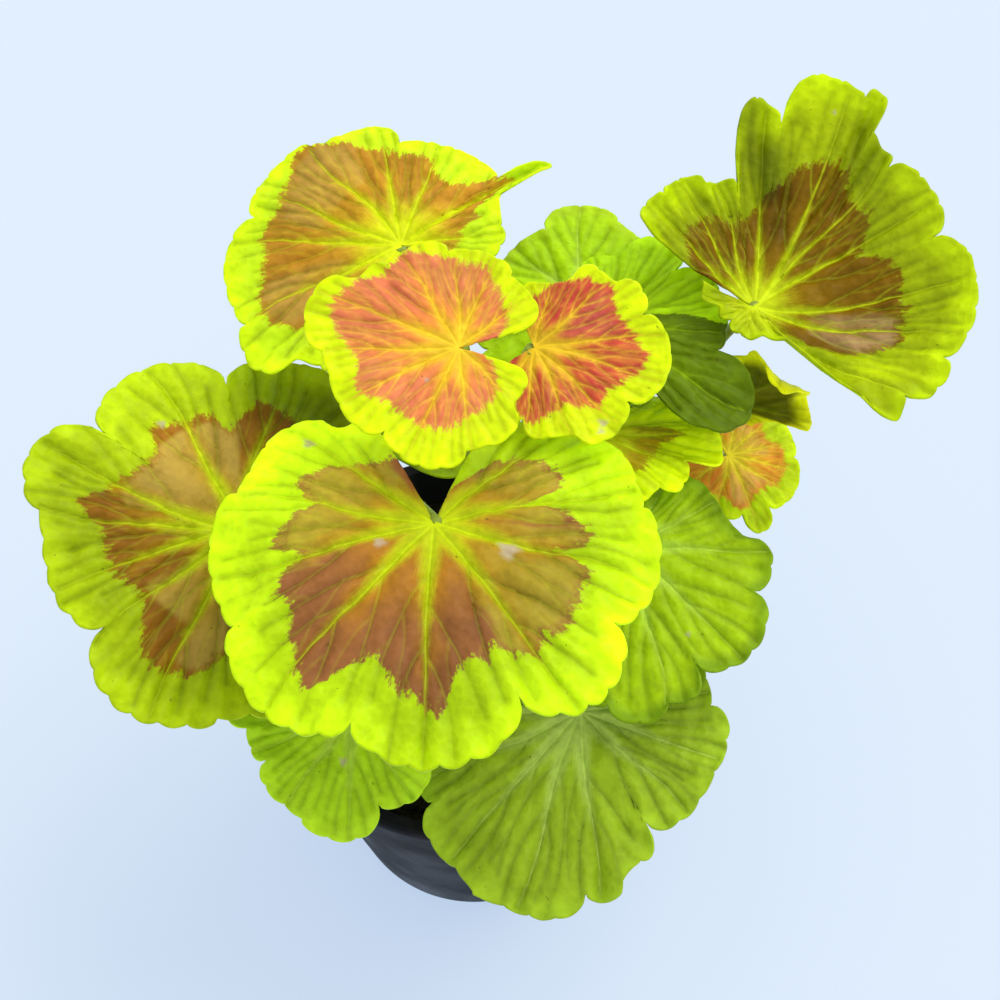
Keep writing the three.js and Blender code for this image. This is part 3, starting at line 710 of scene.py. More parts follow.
# Its lamina and rim are paler than a leaf's own green, a painted light that lifts the leaf out of the shade
# of the leaves above it.
grow(
    "leaf_low_right", "green_leaf", at=(27.8, 26.4, 145), tip=0, lean=(-0.2, 0), span=30, first=-110,
    neck=11, node=126,
    lobes=[(34, 8, 9), (34, 21.5, 21.5), (27, 25, 23.5), (20, 32, 31), (24, 38, 25), (45, 19, 12),
        (32, 10, 8)],
    veins=[(-84, -84), (-42, -44), (-14, -22), (2, 2), (12, 16), (42, 44), (82, 84)],
    zone=[(-110, 6), (-60, 9), (-48, 12.4), (-38, 15.8), (-28, 15.4), (-18, 15.6), (-10, 16.8), (-4, 18),
        (0, 20.4), (4, 22.6), (8, 19.5), (12, 14), (20, 9), (60, 6), (106, 5)],
    tints=[(-20, 30, 2, 9)],
    tones=[(-10, 26, 12, 0.3)],
    lamina=(0.72, 0.96, 0.002), rim=(0.76, 0.98, 0.003), zone_colour=(0.44, 0.3, 0.004),
    tint_colour=(0.4, 0.4, 0.004), warm=(0.52, 0.4, 0.004), vein=(0.66, 0.8, 0.006), margin=4.0,
)

# %% Plain green leaves
grow(
    "leaf_behind", "green_leaf", at=(25, 60, 150), tip=100, lean=(0.1, 0.2), span=28, waves=[(2, 0.04, 40)],
    first=-150, neck=15, node=136,
    lobes=[(65, 23, 19), (48, 22.5, 23.5), (47, 26, 20), (50, 20.5, 20), (50, 26, 24), (45, 33, 20)],
    veins=[(-118, -120), (-62, -62), (-14, -14), (34, 34), (84, 84), (128, 130)],
    lamina=(0.4, 0.66, 0.004), rim=PALE_GREEN, vein=PALE_VEIN, margin=3.0,
)
grow(
    "leaf_right", "green_leaf", at=(36.9, 2.3, 134), tip=-50, lean=(0.15, 0.25), span=38, dome=-0.08,
    first=-150, neck=20, node=117,
    lobes=[(50, 28, 28), (50, 38, 37), (21, 40, 37), (15, 37, 31), (41, 36, 30), (25, 32, 27),
        (60, 22, 16.5), (30, 17, 12)],
    veins=[(-122, -122), (-84, -84), (-56, -60), (-30, -30), (0, 2), (44, 46), (70, 78), (112, 112)],
    marks=[(-48, 21, 0.9), (-10, 24, 0.5)],
    lamina=(0.35, 0.54, 0.004), rim=(0.2, 0.34, 0.005), vein=PALE_VEIN, margin=4.0,
)
grow(
    "leaf_bottom_right", "green_leaf", at=(25.4, -28.6, 113), tip=-80, lean=(0.12, 0.3), span=42,
    dome=-0.08, first=-155, neck=22, node=94.5,
    lobes=[(45, 36.5, 34.5), (41, 42, 40), (28, 45.5, 48), (32, 47, 41), (12, 42.5, 41), (17, 36.5, 29.5),
        (35, 33.5, 33.5), (27, 34, 30), (40, 30, 27), (30, 26, 20)],
    veins=[(-128, -128), (-96, -98), (-74, -76), (-52, -52), (-30, -29), (-6, -5), (36, 36), (58, 60),
        (84, 88), (114, 114)],
    lamina=(0.27, 0.41, 0.012), rim=(0.31, 0.48, 0.016), vein=(0.52, 0.7, 0.13), margin=5.0,
)
grow(
    "leaf_bottom_left", "green_leaf", at=(-25.7, -31.2, 118), tip=-100, lean=(-0.05, 0.25), span=32,
    dome=-0.08, first=-150, neck=18, node=99,
    lobes=[(45, 28, 26), (34, 29, 24), (21, 24, 22), (36, 25.5, 26.5), (41, 28.5, 22), (40, 24, 20),
        (40, 24, 20), (40, 22, 16)],
    veins=[(-124, -124), (-86, -86), (-58, -58), (-22, -24), (8, 10), (44, 46), (78, 80), (110, 112)],
    marks=[(1, 11.2, 0.9)],
    lamina=(0.42, 0.7, 0.01), rim=(0.48, 0.78, 0.018), vein=PALE_VEIN, margin=4.0,
)
grow(
    "leaf_inner_left", "dark_leaf", at=(-22, 31, 130), tip=140, lean=(-0.1, 0.1), span=22, dome=-0.05,
    first=-165, neck=13, node=121.5,
    lobes=[(55, 23, 20), (55, 22, 20), (55, 22, 21), (55, 22, 20), (55, 22, 20), (55, 22, 14)],
    veins=[(-138, -138), (-82, -82), (-28, -28), (28, 28), (82, 82), (138, 138)],
    lamina=(0.24, 0.36, 0.002), rim=(0.3, 0.44, 0.003), vein=(0.3, 0.45, 0.02), margin=3.0,
)
print("leaves:", len(LEAVES))

# %% [markdown]
# ## The stem
# One short green stem carries every stalk. It thickens at each joint, leans back a little, and ends
# in a growing tip of three folded buds. Two small pointed stipules sit at each joint.

# %% Stem line
STEM_ROUTE = [
    (0, 0, SOIL_LEVEL - STEM_HOLE_DEPTH + CLEARANCE), (0, 0, 80), (0.1, 0.4, 92), (1, 4, 112), (3, 9, 138),
    (4, 15, 158), (5, 20, 170),
]
STEM_TAPER = [(61, 4.4), (84, 4.35), (106, 4.0), (128, 3.6), (150, 3.1), (172, 2.4)]
STEM_STEPS = 260
STEM_SIDES = 28
SMOOTHED_OVER = 17
JOINT_SWELLING = 0.14
JOINT_LENGTH = 1.7


def stem_points(z):
    route = np.array(STEM_ROUTE, float)
    x = np.interp(z, route[:, 2], route[:, 0])
    y = np.interp(z, route[:, 2], route[:, 1])
    return np.stack([x, y, z], axis=-1)


def stem_radius(z):
    heights, radii = zip(*STEM_TAPER)
    base = np.interp(z, heights, radii)
    swell = np.zeros_like(base)
    for leaf in LEAVES:
        swell = np.maximum(swell, np.exp(-(((z - leaf["node"]) / JOINT_LENGTH) ** 2)))
    return base * (1.0 + JOINT_SWELLING * swell)


def joint_of(leaf):
    """The stem's middle and radius where a leaf leaves it, and the level way towards its blade."""
    centre = stem_points(np.array(float(leaf["node"])))
    out = unit((np.array(leaf["at"], float) - centre) * [1.0, 1.0, 0.0])
    return centre, float(stem_radius(np.array([float(leaf["node"])]))[0]), out


heights = np.linspace(STEM_ROUTE[0][2], STEM_ROUTE[-1][2], STEM_STEPS)
line = stem_points(heights)
kernel = np.ones(SMOOTHED_OVER) / SMOOTHED_OVER
for axis in (0, 1):
    padded = np.pad(line[:, axis], SMOOTHED_OVER // 2, mode="edge")
    line[:, axis] = np.convolve(padded, kernel, mode="valid")
stem_radii = stem_radius(heights)
stem_tube = tube_object("stem_tube", line, stem_radii, STEM_SIDES, 0.02)

# %% Stipules and growing tip
UP = np.array([0.0, 0.0, 1.0])
SCALE_ROWS = 9
SCALE_COLUMNS = 5
STIPULE_LENGTH = 4.6
STIPULE_WIDTH = 3.2
STIPULE_BEND = 0.10
STIPULE_TURN = math.radians(100.0)
BUDS = ((0.0, 0.0, 2.5, 5.8), (1.8, 0.8, 1.6, 4.3), (-1.6, 0.9, 1.5, 3.8))


def scale_points(root, axis, across):
    """The two sides of a thin pointed scale that leans out from its root as it rises."""
    normal = unit(np.cross(across, axis))
    points = []
    for side in (1.0, -1.0):
        for i in range(SCALE_ROWS):
            t = i / (SCALE_ROWS - 1)
            half = 0.5 * STIPULE_WIDTH * (1.0 - t) ** 0.7 * (0.75 + 0.5 * t)
            for k in range(SCALE_COLUMNS):
                u = 2.0 * k / (SCALE_COLUMNS - 1) - 1.0
                cup = 0.25 * STIPULE_WIDTH * (1.0 - u * u)
                lift = STIPULE_BEND * t * t * STIPULE_LENGTH + cup + side * 0.15 * (1.0 - 0.6 * t)
                points.append(root + axis * t * STIPULE_LENGTH + across * u * half + normal * lift)
    return points


def scale_faces():
    rows, columns = SCALE_ROWS, SCALE_COLUMNS
    faces = []
    count = rows * columns
    for i in range(rows - 1):
        for k in range(columns - 1):
            a = i * columns + k
            faces.append((a, a + 1, a + columns + 1, a + columns))
            faces.append((count + a, count + a + columns, count + a + columns + 1, count + a + 1))
    border = list(range(columns))
    border += [i * columns + columns - 1 for i in range(1, rows)]
    border += [(rows - 1) * columns + k for k in range(columns - 2, -1, -1)]
    border += [i * columns for i in range(rows - 2, 0, -1)]
    for a, b in zip(border, border[1:] + border[:1]):
        faces.append((a, count + a, count + b, b))
    return faces


def stipule(leaf, side):
    centre, radius, out = joint_of(leaf)
    c, s = math.cos(side * STIPULE_TURN), math.sin(side * STIPULE_TURN)
    away = np.array([out[0] * c - out[1] * s, out[0] * s + out[1] * c, 0.0])
    axis = unit(0.45 * away + UP)
    across = unit(np.cross(UP, away))
    root = centre + away * (radius - 0.5) - UP * 0.6
    return mesh_object("stipule", scale_points(root, axis, across), scale_faces())


def bud(x, y, radius, height):
    obj = added(bpy.ops.mesh.primitive_uv_sphere_add, segments=24, ring_count=16, radius=1.0)
    for vertex in obj.data.vertices:
        turn = math.atan2(vertex.co.y, vertex.co.x)
        fold = 1.0 + 0.12 * math.cos(5.0 * turn + 4.0 * vertex.co.z)
        vertex.co.x *= fold
        vertex.co.y *= fold
    obj.scale = (radius * MM, radius * MM, height * MM)
    top = STEM_ROUTE[-1]
    obj.location = ((top[0] + x) * MM, (top[1] + y) * MM, top[2] * MM)
    apply_place(obj)
    bpy.ops.object.shade_smooth()
    return obj


stem_parts = [stem_tube]
stem_parts += [stipule(leaf, side) for leaf in LEAVES for side in (-1.0, 1.0)]
stem_parts += [bud(*measures) for measures in BUDS]
stem_piece = join(stem_parts)
turn_outward(stem_piece)


# %% Stem and stalk finish
def stalk_finish(name, colour, blush, streak_scale):
    material, nodes, shader = new_material(name, 0.5, 0.35)
    shade, height = mottled(nodes, colour, 0.012, 0.5, 0.0008, 0.3)
    red = nodes.stepped(nodes.noise(nodes.place(), streak_scale, 3.0), 0.42, 0.68)
    nodes.feed(nodes.mixed(nodes.times(red, 0.6), shade, rgba(blush)), shader["Base Color"])
    nodes.bump(shader, height, 0.35, 0.0003)
    return material


stem_finish = stalk_finish("stem_finish", (0.20, 0.27, 0.035), (0.16, 0.11, 0.03), 160.0)
petiole_finish = stalk_finish("stalk_finish", (0.30, 0.42, 0.035), (0.22, 0.20, 0.03), 120.0)
finish_piece(stem_piece, "jointed_stem", "stems", [stem_finish])

# %% [markdown]
# ## A leaf's blade
# A blade is a fan of lobes with rounded teeth, as broad as it is long. It is far from any primitive,
# so its points are laid on spokes and rings from the stalk outwards, the same way as in the frame,
# only much finer. Rings near the middle have fewer points, because they are shorter. Main veins run
# to each lobe's tip and fork towards the teeth. The blade is sunk along the veins and puffed up
# between them. The distances to the veins, the rim and the brown zone's edge are kept on the
# points, and the finish reads them.

# %% Outline of a blade
TOOTH_WIDTH = 6.5
TOOTH_DEPTH = 0.85
TOOTH_ROUNDNESS = 0.55
PLEAT = 0.022
SPOKE_SPACING = 0.62
SPOKES_AT_ONCE = 8


def lobe_spokes(start, low, lobe, small, dice):
    """One lobe's spokes: bearing, reach of the rim, pleat, and a wave that swings once a tooth."""
    width, reach, notch = lobe
    arc = math.radians(width) * max(reach, 12.0)
    count = SPOKES_AT_ONCE * max(2, math.ceil(arc / SPOKE_SPACING / SPOKES_AT_ONCE))
    teeth = max(1, round(arc / TOOTH_WIDTH / (0.5 + 0.5 * small)))
    t = np.arange(count) / count
    base = low + (notch - low) * t
    rounded = np.sqrt(np.sin(math.pi * t))
    shift = dice.uniform(-0.1, 0.1) * np.sin(2.0 * math.pi * t)
    beat = teeth * t + shift
    depth = TOOTH_DEPTH * small * dice.uniform(0.7, 1.15)
    tooth = depth * (1.0 - np.abs(np.sin(math.pi * beat)) ** TOOTH_ROUNDNESS)
    rim = base + (reach - base) * rounded - tooth
    return np.radians(start + width * t), rim, PLEAT * np.cos(2.0 * math.pi * t), np.cos(2.0 * math.pi * beat)


def outline(leaf, dice):
    start, low = leaf["first"], leaf["neck"]
    small = min(1.0, leaf["span"] / 40.0)
    lobes = []
    for lobe in leaf["lobes"]:
        lobes.append(lobe_spokes(start, low, lobe, small, dice))
        start += lobe[0]
        low = lobe[2]
    lobes.append(([math.radians(start)], [low], [PLEAT], [1.0]))
    return [np.concatenate(column) for column in zip(*lobes)]


# %% Veins of a blade
FORKS = ((0.30, 0.84, 0.88), (0.55, 0.42, 1.0))
YOUNG_FORKS = ((0.26, 0.92, 0.80), (0.46, 0.68, 1.0), (0.66, 0.34, 1.0))
FORK_ANGLE = math.radians(34.0)
VEIN_STEPS = 16
VEIN_END = 0.965
MAIN_DEPTH = 1.0
SHALLOW = 1.6
LEAST_WIDTH = 0.27
FAR_AWAY = 99.0


def polar(angle, reach):
    return np.array([reach * math.cos(angle), reach * math.sin(angle)])


def swept(begin, way, end, count):
    """A curve that sets out along way and bends over to its end."""
    bend = begin + way * np.linalg.norm(end - begin) * 0.42
    t = np.linspace(0.0, 1.0, count)[:, None]
    return (1 - t) ** 2 * begin + 2 * (1 - t) * t * bend + t ** 2 * end


def turned(way, angle):
    c, s = math.cos(angle), math.sin(angle)
    return np.array([c * way[0] - s * way[1], s * way[0] + c * way[1]])


def twigs(fork, goal, gap, side, out, rim, dice):
    """The two small veins that leave a fork, one to each side."""
    lines = []
    for twist, part in ((-side, 3), (side, 5)):
        far = min(1.0, out * dice.uniform(0.86, 1.12))
        tip = goal + twist * gap * 0.28 * dice.uniform(0.7, 1.4)
        set_out = turned(unit(fork[part + 1] - fork[part]), twist * 0.6)
        line = swept(fork[part], set_out, polar(tip, rim(tip) * far), 5)
        lines.append((line, 0.20, 0.09, dice.uniform(0.0, 0.3), "twig"))
    return lines


def side_veins(line, middle, side, gap, fork_plan, size, rim, dice):
    """Forks and twigs to one side of a main vein. A plan says where on it, how far aside, how far out."""
    lines = []
    for along, spread, out in fork_plan:
        where = along + dice.uniform(-0.035, 0.035) + 0.03 * side
        goal = middle + side * gap * spread * dice.uniform(0.9, 1.06)
        k = min(VEIN_STEPS - 2, int(where * (VEIN_STEPS - 1)))
        begin = line[k] + (line[k + 1] - line[k]) * (where * (VEIN_STEPS - 1) - k)
        end = polar(goal, rim(goal) * out * dice.uniform(0.95, 1.03))
        if np.linalg.norm(end) < np.linalg.norm(begin) * 1.08:
            continue
        way = unit(line[k + 1] - line[k])
        fork = swept(begin, turned(way, side * FORK_ANGLE), end, 9)
        lines.append((fork, 0.30 * size + 0.05, 0.11, dice.uniform(0.7, 1.0), "fork"))
        lines += twigs(fork, goal, gap, side, out, rim, dice)
    return lines


def vein_lines(leaf, angles, reaches, dice):
    """Lines in the blade's own plane: points, half width at start and end, depth, kind."""
    def rim(angle):
        return VEIN_END * float(np.interp(angle, angles, reaches))

    mains = [(math.radians(a), math.radians(b)) for a, b in leaf["veins"]]
    ends = [angles[0]] + [b for _, b in mains] + [angles[-1]]
    size = min(1.0, 0.35 + leaf["span"] / 60.0)
    fork_plan = YOUNG_FORKS if leaf["slot"] == "bright_leaf" else FORKS
    share = np.linspace(0.0, 1.0, VEIN_STEPS)
    lines = []
    for index, (a, b) in enumerate(mains):
        bearing = b + (a - b) * (1.0 - share) ** 2
        wander = dice.uniform(-0.05, 0.05) * np.sin(math.pi * share * 2.0)
        line = np.array([polar(t + w, r * rim(b)) for t, w, r in zip(bearing, wander, share)])
        lines.append((line, 0.60 * size, 0.16, MAIN_DEPTH, "main"))
        for side, beside in ((-1.0, ends[index]), (1.0, ends[index + 2])):
            gap = abs(beside - b) * (0.5 if 0 < index < len(mains) - 1 else 0.62)
            lines += side_veins(line, b, side, gap, fork_plan, size, rim, dice)
    return lines


def vein_distances(flat, lines, fork_show):
    """How brightly each point is drawn as vein, and its distances to any vein and a main one."""
    shows = {"main": (1.0, 0.35), "fork": (fork_show, 0.5), "twig": (0.4 * fork_show, 0.4)}
    strength = np.zeros(len(flat))
    nearest = np.full(len(flat), FAR_AWAY)
    main = np.full(len(flat), FAR_AWAY)
    for line, wide, thin, depth, kind in lines:
        show, fade = shows[kind]
        for i in range(len(line) - 1):
            a, b = line[i], line[i + 1]
            ab = b - a
            t = np.clip(((flat - a) @ ab) / (ab @ ab), 0.0, 1.0)
            gap = np.linalg.norm(flat - (a + t[:, None] * ab), axis=1)
            share = (i + t) / (len(line) - 1)
            half = wide + (thin - wide) * share
            close = np.exp(-((gap / np.maximum(half, LEAST_WIDTH)) ** 2)) * show * (1.0 - fade * share)
            strength = np.maximum(strength, close)
            nearest = np.minimum(nearest, gap + SHALLOW * (MAIN_DEPTH - depth))
            if kind == "main":
                main = np.minimum(main, gap)
    return strength, nearest, main


# %% Relief of a blade
PUFF = 1.9
PUFF_WIDTH = 1.7
VEIN_GROOVE = 0.5
RUFFLE = 0.5
PUCKER = 0.24
PUCKER_SIZE = 5.5
BILLOW = 0.45
BILLOW_SIZE = 17.0
WAVES = 7


def soft_noise(x, y, scale, dice):
    """Smooth irregular bumps: a few sine waves with seeded directions."""
    total = np.zeros_like(x)
    for _ in range(WAVES):
        turn = dice.uniform(0.0, math.pi)
        wave = 2.0 * math.pi / (scale * dice.uniform(0.7, 1.5))
        phase = dice.uniform(0.0, 6.3)
        total += np.sin(wave * (x * math.cos(turn) + y * math.sin(turn)) + phase)
    return total / math.sqrt(WAVES)


def relief_of(leaf, flat, share, nearest, main, swing, dice):
    small = min(1.0, leaf["span"] / 42.0)
    wide = PUFF_WIDTH * (0.45 + 0.55 * small)
    calm = np.clip(4.0 * share, 0.0, 1.0)
    puff = PUFF * ((1.0 - np.exp(-nearest / wide)) * calm * (1.0 - 0.4 * share) - 0.4)
    groove = -VEIN_GROOVE * np.exp(-((main / 1.1) ** 2)) * (1.0 - 0.6 * share)
    ruffle = RUFFLE * share ** 5 * swing
    x, y = flat[:, 0], flat[:, 1]
    pucker = PUCKER * soft_noise(x, y, PUCKER_SIZE, dice) * calm
    billow = BILLOW * soft_noise(x, y, BILLOW_SIZE, dice) * share
    return small * (puff + groove + ruffle + pucker + billow)


# %% Surface of a blade
def leaf_frame(leaf):
    lean = leaf["lean"]
    normal = unit(np.array([-lean[0], -lean[1], 1.0]))
    bearing = math.radians(leaf["tip"])
    along = np.array([math.cos(bearing), math.sin(bearing), 0.0])
    along[2] = lean[0] * along[0] + lean[1] * along[1]
    along = unit(along)
    return along, np.cross(normal, along), normal


def curled(x, y, height, bearing, begin, radius):
    """Rolls what lies beyond a straight line over a round of the given radius."""
    way = (math.cos(math.radians(bearing)), math.sin(math.radians(bearing)))
    beyond = np.maximum(0.0, x * way[0] + y * way[1] - begin)
    turn = beyond / abs(radius)
    back = abs(radius) * np.sin(turn) - beyond
    return x + back * way[0], y + back * way[1], height + radius * (1.0 - np.cos(turn))


def blade_points(leaf, reach, angle, pleat, relief):
    x, y = reach * np.cos(angle), reach * np.sin(angle)
    share = reach / leaf["span"]
    lift = leaf["dome"] + pleat
    for count, height, phase in leaf["waves"]:
        lift = lift + height * np.cos(count * (angle - math.radians(phase)))
    height = lift * leaf["span"] * share * share + relief
    for curl in leaf["curls"]:
        x, y, height = curled(x, y, height, *curl)
    local = np.stack([x, y, height], axis=1)
    return np.array(leaf["at"], float) + local @ np.array(leaf_frame(leaf))


# %% Markings of a blade
NO_ZONE = -20.0
CREASE_WIDTH = 0.55
CREST_WIDTH = 1.2
TINT_SOFTNESS = (9.0, 3.0)


def window(value, middle, half, soft):
    return np.clip((half + soft - np.abs(value - middle)) / soft, 0.0, 1.0)


def tint_of(leaf, degrees, reach):
    tint = np.zeros_like(reach)
    for middle, half, inner, outer in leaf["tints"]:
        around = window(degrees, middle, half, TINT_SOFTNESS[0])
        out = window(reach, 0.5 * (inner + outer), 0.5 * (outer - inner), TINT_SOFTNESS[1])
        tint = np.maximum(tint, around * out)
    return tint


def mark_of(leaf, flat):
    mark = np.zeros(len(flat))
    for bearing, reach, radius in leaf["marks"]:
        away = flat - polar(math.radians(bearing), reach)
        turn = np.arctan2(away[:, 1], away[:, 0])
        edge = radius * (1.0 + 0.2 * np.sin(3.0 * turn + bearing) + 0.12 * np.sin(5.0 * turn))
        mark = np.maximum(mark, np.clip(1.6 * (1.2 - np.linalg.norm(away, axis=1) / edge), 0.0, 1.0))
    return mark


# Soft rounds of painted shade and painted light, with a little of the blade's own tone, that scale the
# blade's colour.
def light_and_tone_of(leaf, flat):
    tone = np.ones(len(flat))
    for bearing, reach, radius, amount in leaf["tones"]:
        away = np.linalg.norm(flat - polar(math.radians(bearing), reach), axis=1)
        tone = tone * (1.0 + amount * np.exp(-((away / radius) ** 2)))
    return tone


def zone_of(leaf, degrees, reach):
    """Distance inside the shield's edge, well below zero where a leaf has no shield."""
    if not leaf["zone"]:
        return NO_ZONE - reach
    bearings, reaches = zip(*leaf["zone"])
    return np.interp(degrees, bearings, reaches) - reach


def blade_values(leaf, flat, reach, angle, full, veins):
    """What each point carries for the finish. Veins are strength, and distance to any and to a main one."""
    strength, nearest, main = veins
    degrees = np.degrees(angle)
    share = reach / full
    halo_width = leaf["halo"] * (0.6 + 3.0 * (1.0 - share) ** 1.7) * min(1.0, 0.4 + leaf["span"] / 70.0)
    heart = np.exp(-((reach / (leaf["heart"] * leaf["span"])) ** 2))
    halo = np.exp(-((main / halo_width) ** 2)) * (1.0 - 0.8 * share)
    glow = np.exp(-((main / (1.8 * halo_width + 0.8)) ** 2)) * (1.0 - 0.6 * share)
    return {
        "vein": strength,
        # Crease and crest feed painted shade in the creases and painted light on the crests; the crease also
        # shapes the shield's fingers.
        "crease": np.exp(-((nearest / CREASE_WIDTH) ** 1.3)),
        "crest": 1.0 - np.exp(-nearest / CREST_WIDTH),
        "halo": np.maximum(halo, heart),
        "glow": np.maximum(glow, 0.8 * heart),
        "zone": zone_of(leaf, degrees, reach),
        "edge": full - reach,
        "bearing": angle,
        "out": reach,
        "tint": tint_of(leaf, degrees, reach),
        "mark": mark_of(leaf, flat),
        "tone": light_and_tone_of(leaf, flat),
    }


# %% Mesh of a blade
BLADE_THICKNESS = 0.6
RING_SPACING = 0.6
FORK_SHOW = 0.4
YOUNG_FORK_SHOW = 0.7


def blade_rings(span):
    """Rings as (share, every): every says which spokes a ring has, fewer near the middle."""
    count = max(14, int(span / RING_SPACING))
    shares = [i / count for i in range(1, count + 1)]
    return [(share, 4 if share < 0.22 else 2 if share < 0.46 else 1) for share in shares]


def ring_faces(inner, outer):
    if len(outer) == len(inner):
        return [(inner[i], outer[i], outer[i + 1], inner[i + 1]) for i in range(len(inner) - 1)]
    faces = []
    for i in range(len(inner) - 1):
        a, b = inner[i], inner[i + 1]
        p, q, r = outer[2 * i], outer[2 * i + 1], outer[2 * i + 2]
        faces.extend([(a, p, q), (a, q, b), (b, q, r)])
    return faces


def blade_net(spokes, span):
    """All points as angle, reach, pleat, swing and full reach, and the faces between them."""
    table = [np.array([[0.0], [0.0], [0.0], [1.0], [1.0]])]
    rows = []
    count = 1
    for share, every in blade_rings(span):
        angle, full, pleat, swing = (column[::every] for column in spokes)
        rows.append(range(count, count + len(angle)))
        count += len(angle)
        table.append(np.array([angle, full * share, pleat, swing, full]))
    faces = [(0, a, b) for a, b in zip(rows[0], rows[0][1:])]
    for inner, outer in zip(rows, rows[1:]):
        faces.extend(ring_faces(inner, outer))
    return np.concatenate(table, axis=1), faces


def thicken(blade):
    """Gives the sheet its thickness, with the second material on its underside."""
    solid = blade.modifiers.new("thickness", "SOLIDIFY")
    solid.thickness = BLADE_THICKNESS * MM
    solid.offset = 0.0
    solid.material_offset = 1
    solid.material_offset_rim = 0
    apply_modifiers(blade)


def blade_mesh(leaf, dice):
    spokes = outline(leaf, dice)
    (angle, reach, pleat, swing, full), faces = blade_net(spokes, leaf["span"])
    flat = np.stack([reach * np.cos(angle), reach * np.sin(angle)], axis=1)
    lines = vein_lines(leaf, spokes[0], spokes[1], dice)
    fork_show = YOUNG_FORK_SHOW if leaf["slot"] == "bright_leaf" else FORK_SHOW
    veins = vein_distances(flat, lines, fork_show)
    relief = relief_of(leaf, flat, reach / full, veins[1], veins[2], swing, dice)
    blade = mesh_object(leaf["name"], blade_points(leaf, reach, angle, pleat, relief), faces)
    for key, value in blade_values(leaf, flat, reach, angle, full, veins).items():
        layer = blade.data.attributes.new(key, "FLOAT", "POINT")
        layer.data.foreach_set("value", value.astype(np.float32))
    thicken(blade)
    return blade


# %% [markdown]
# ## The leaf's finish
# One group mixes the blade's colours from what its points carry. The lamina changes towards the rim.
# The brown zone's border is ragged along the spokes, its middle is warmer, and its tints lie only
# inside it. A yellow halo follows the main veins, and the veins are drawn over all of it. Then come
# painted shade beside the veins, painted light on the crests between them, the soft spots of painted
# light and tone, a fine net of cells, soft patches and a few dark specks. Each leaf gives the group
# its own colours.

# %% Leaf colour group
paint, paint_in, paint_out = new_group(
    "leaf_paint", ["Lamina", "Rim", "Zone", "Tint", "Warm", "Vein"], ["Margin", "Feather"], ["Height", "Mark"]
)
vein = paint.carried("vein")
crease = paint.carried("crease")
mark = paint.carried("mark")

# The raggedness of the shield's edge: streaks that run outwards, and a slower wander.
place = paint.place()
spokes = paint.add("ShaderNodeCombineXYZ", {
    "X": paint.times(paint.carried("bearing"), 40.0),
    "Y": paint.times(paint.carried("out"), 0.35),
})[0]
streak = paint.centred(paint.noise(spokes, 1.0, 4.0, 0.72), 1.3)
wander = paint.centred(paint.noise(place, 95.0), 1.0)
splash = paint.centred(paint.noise(place, 480.0, 3.0, 0.7), 0.9)
ragged = paint.times(paint.plus(streak, splash), paint_in["Feather"])
inside = paint.plus(paint.carried("zone"), ragged)
fingers = paint.times_plus(crease, 1.6, -0.7)
zone_mask = paint.stepped(paint.plus(inside, fingers), -0.7, 0.9)

# Lamina and rim, then the shield with its tints and its warm middle.
soft_edge = paint.maths("DIVIDE", paint.carried("edge"), paint_in["Margin"])
rim_mask = paint.stepped(paint.plus(soft_edge, wander), 1.2, 0.2)
lamina = paint.mixed(rim_mask, paint_in["Lamina"], paint_in["Rim"])
tinted = paint.plus(paint.carried("tint"), paint.times(wander, 1.2))
tint_mask = paint.times(paint.stepped(inside, 0.0, 3.5), paint.stepped(tinted, 0.25, 0.85))
shield = paint.mixed(tint_mask, paint_in["Zone"], paint_in["Tint"])
glow = paint.stepped(paint.plus(paint.carried("glow"), wander), 0.2, 1.0)
shield = paint.mixed(paint.times(glow, 0.6), shield, paint_in["Warm"])
heart = paint.stepped(paint.times_plus(wander, 16.0, inside), 5.0, 26.0, 0.0, 0.5)
shield = paint.mixed(heart, shield, paint_in["Warm"])
painted = paint.mixed(zone_mask, lamina, shield)

# The halo beside the main veins and the veins themselves.
halo = paint.times_plus(streak, 0.5, paint.carried("halo"))
painted = paint.mixed(paint.stepped(halo, 0.15, 0.9, 0.0, 0.9), painted, paint_in["Vein"])
vein_mask = paint.times(vein, paint.stepped(zone_mask, 0.0, 1.0, 0.5, 0.95))
painted = paint.mixed(vein_mask, painted, paint_in["Vein"])

# Painted light and shade: painted shade in the creases beside the veins, painted light on the crests and
# veins, and the soft spots of painted light and tone; with them the blade's own fine net of cells and soft
# patches.
beside = paint.maths("MAXIMUM", paint.minus(crease, vein), 0.0)
cells = paint.add("ShaderNodeTexVoronoi", {"Vector": place, "Scale": 520.0}, feature="F1")["Distance"]
net = paint.stepped(cells, 0.15, 0.75)
patches = paint.noise(place, 130.0, 4.0, 0.6)
lit = paint.maths("MAXIMUM", paint.carried("crest"), vein)
gain = paint.times_plus(beside, -0.32, 1.06)
for factor in (
    paint.times_plus(net, 0.07, 0.965),
    paint.times_plus(patches, 0.30, 0.85),
    paint.carried("tone"),
    paint.times_plus(lit, 0.30, 0.80),
    paint.stepped(paint.noise(place, 210.0, 3.0, 0.6), 0.34, 0.68, 0.92, 1.09),
):
    gain = paint.times(gain, factor)
painted = paint.scaled(painted, gain)

# Small dark specks, and the pale scars.
specks = paint.stepped(paint.noise(place, 760.0, 1.0), 0.775, 0.80)
painted = paint.mixed(paint.times(specks, 0.55), painted, rgba((0.09, 0.07, 0.01)))
scar_colour = paint.mixed(patches, rgba((0.42, 0.30, 0.20)), rgba((0.62, 0.55, 0.42)))
painted = paint.mixed(paint.times(mark, 0.75), painted, scar_colour)
paint.feed(painted, paint_out["Colour"])
paint.feed(paint.times_plus(net, 0.5, paint.times(patches, 0.8)), paint_out["Height"])
paint.feed(mark, paint_out["Mark"])
print("leaf paint group:", len(paint.tree.nodes), "nodes")

# %% Finish of each leaf
FEATHER = 5.5


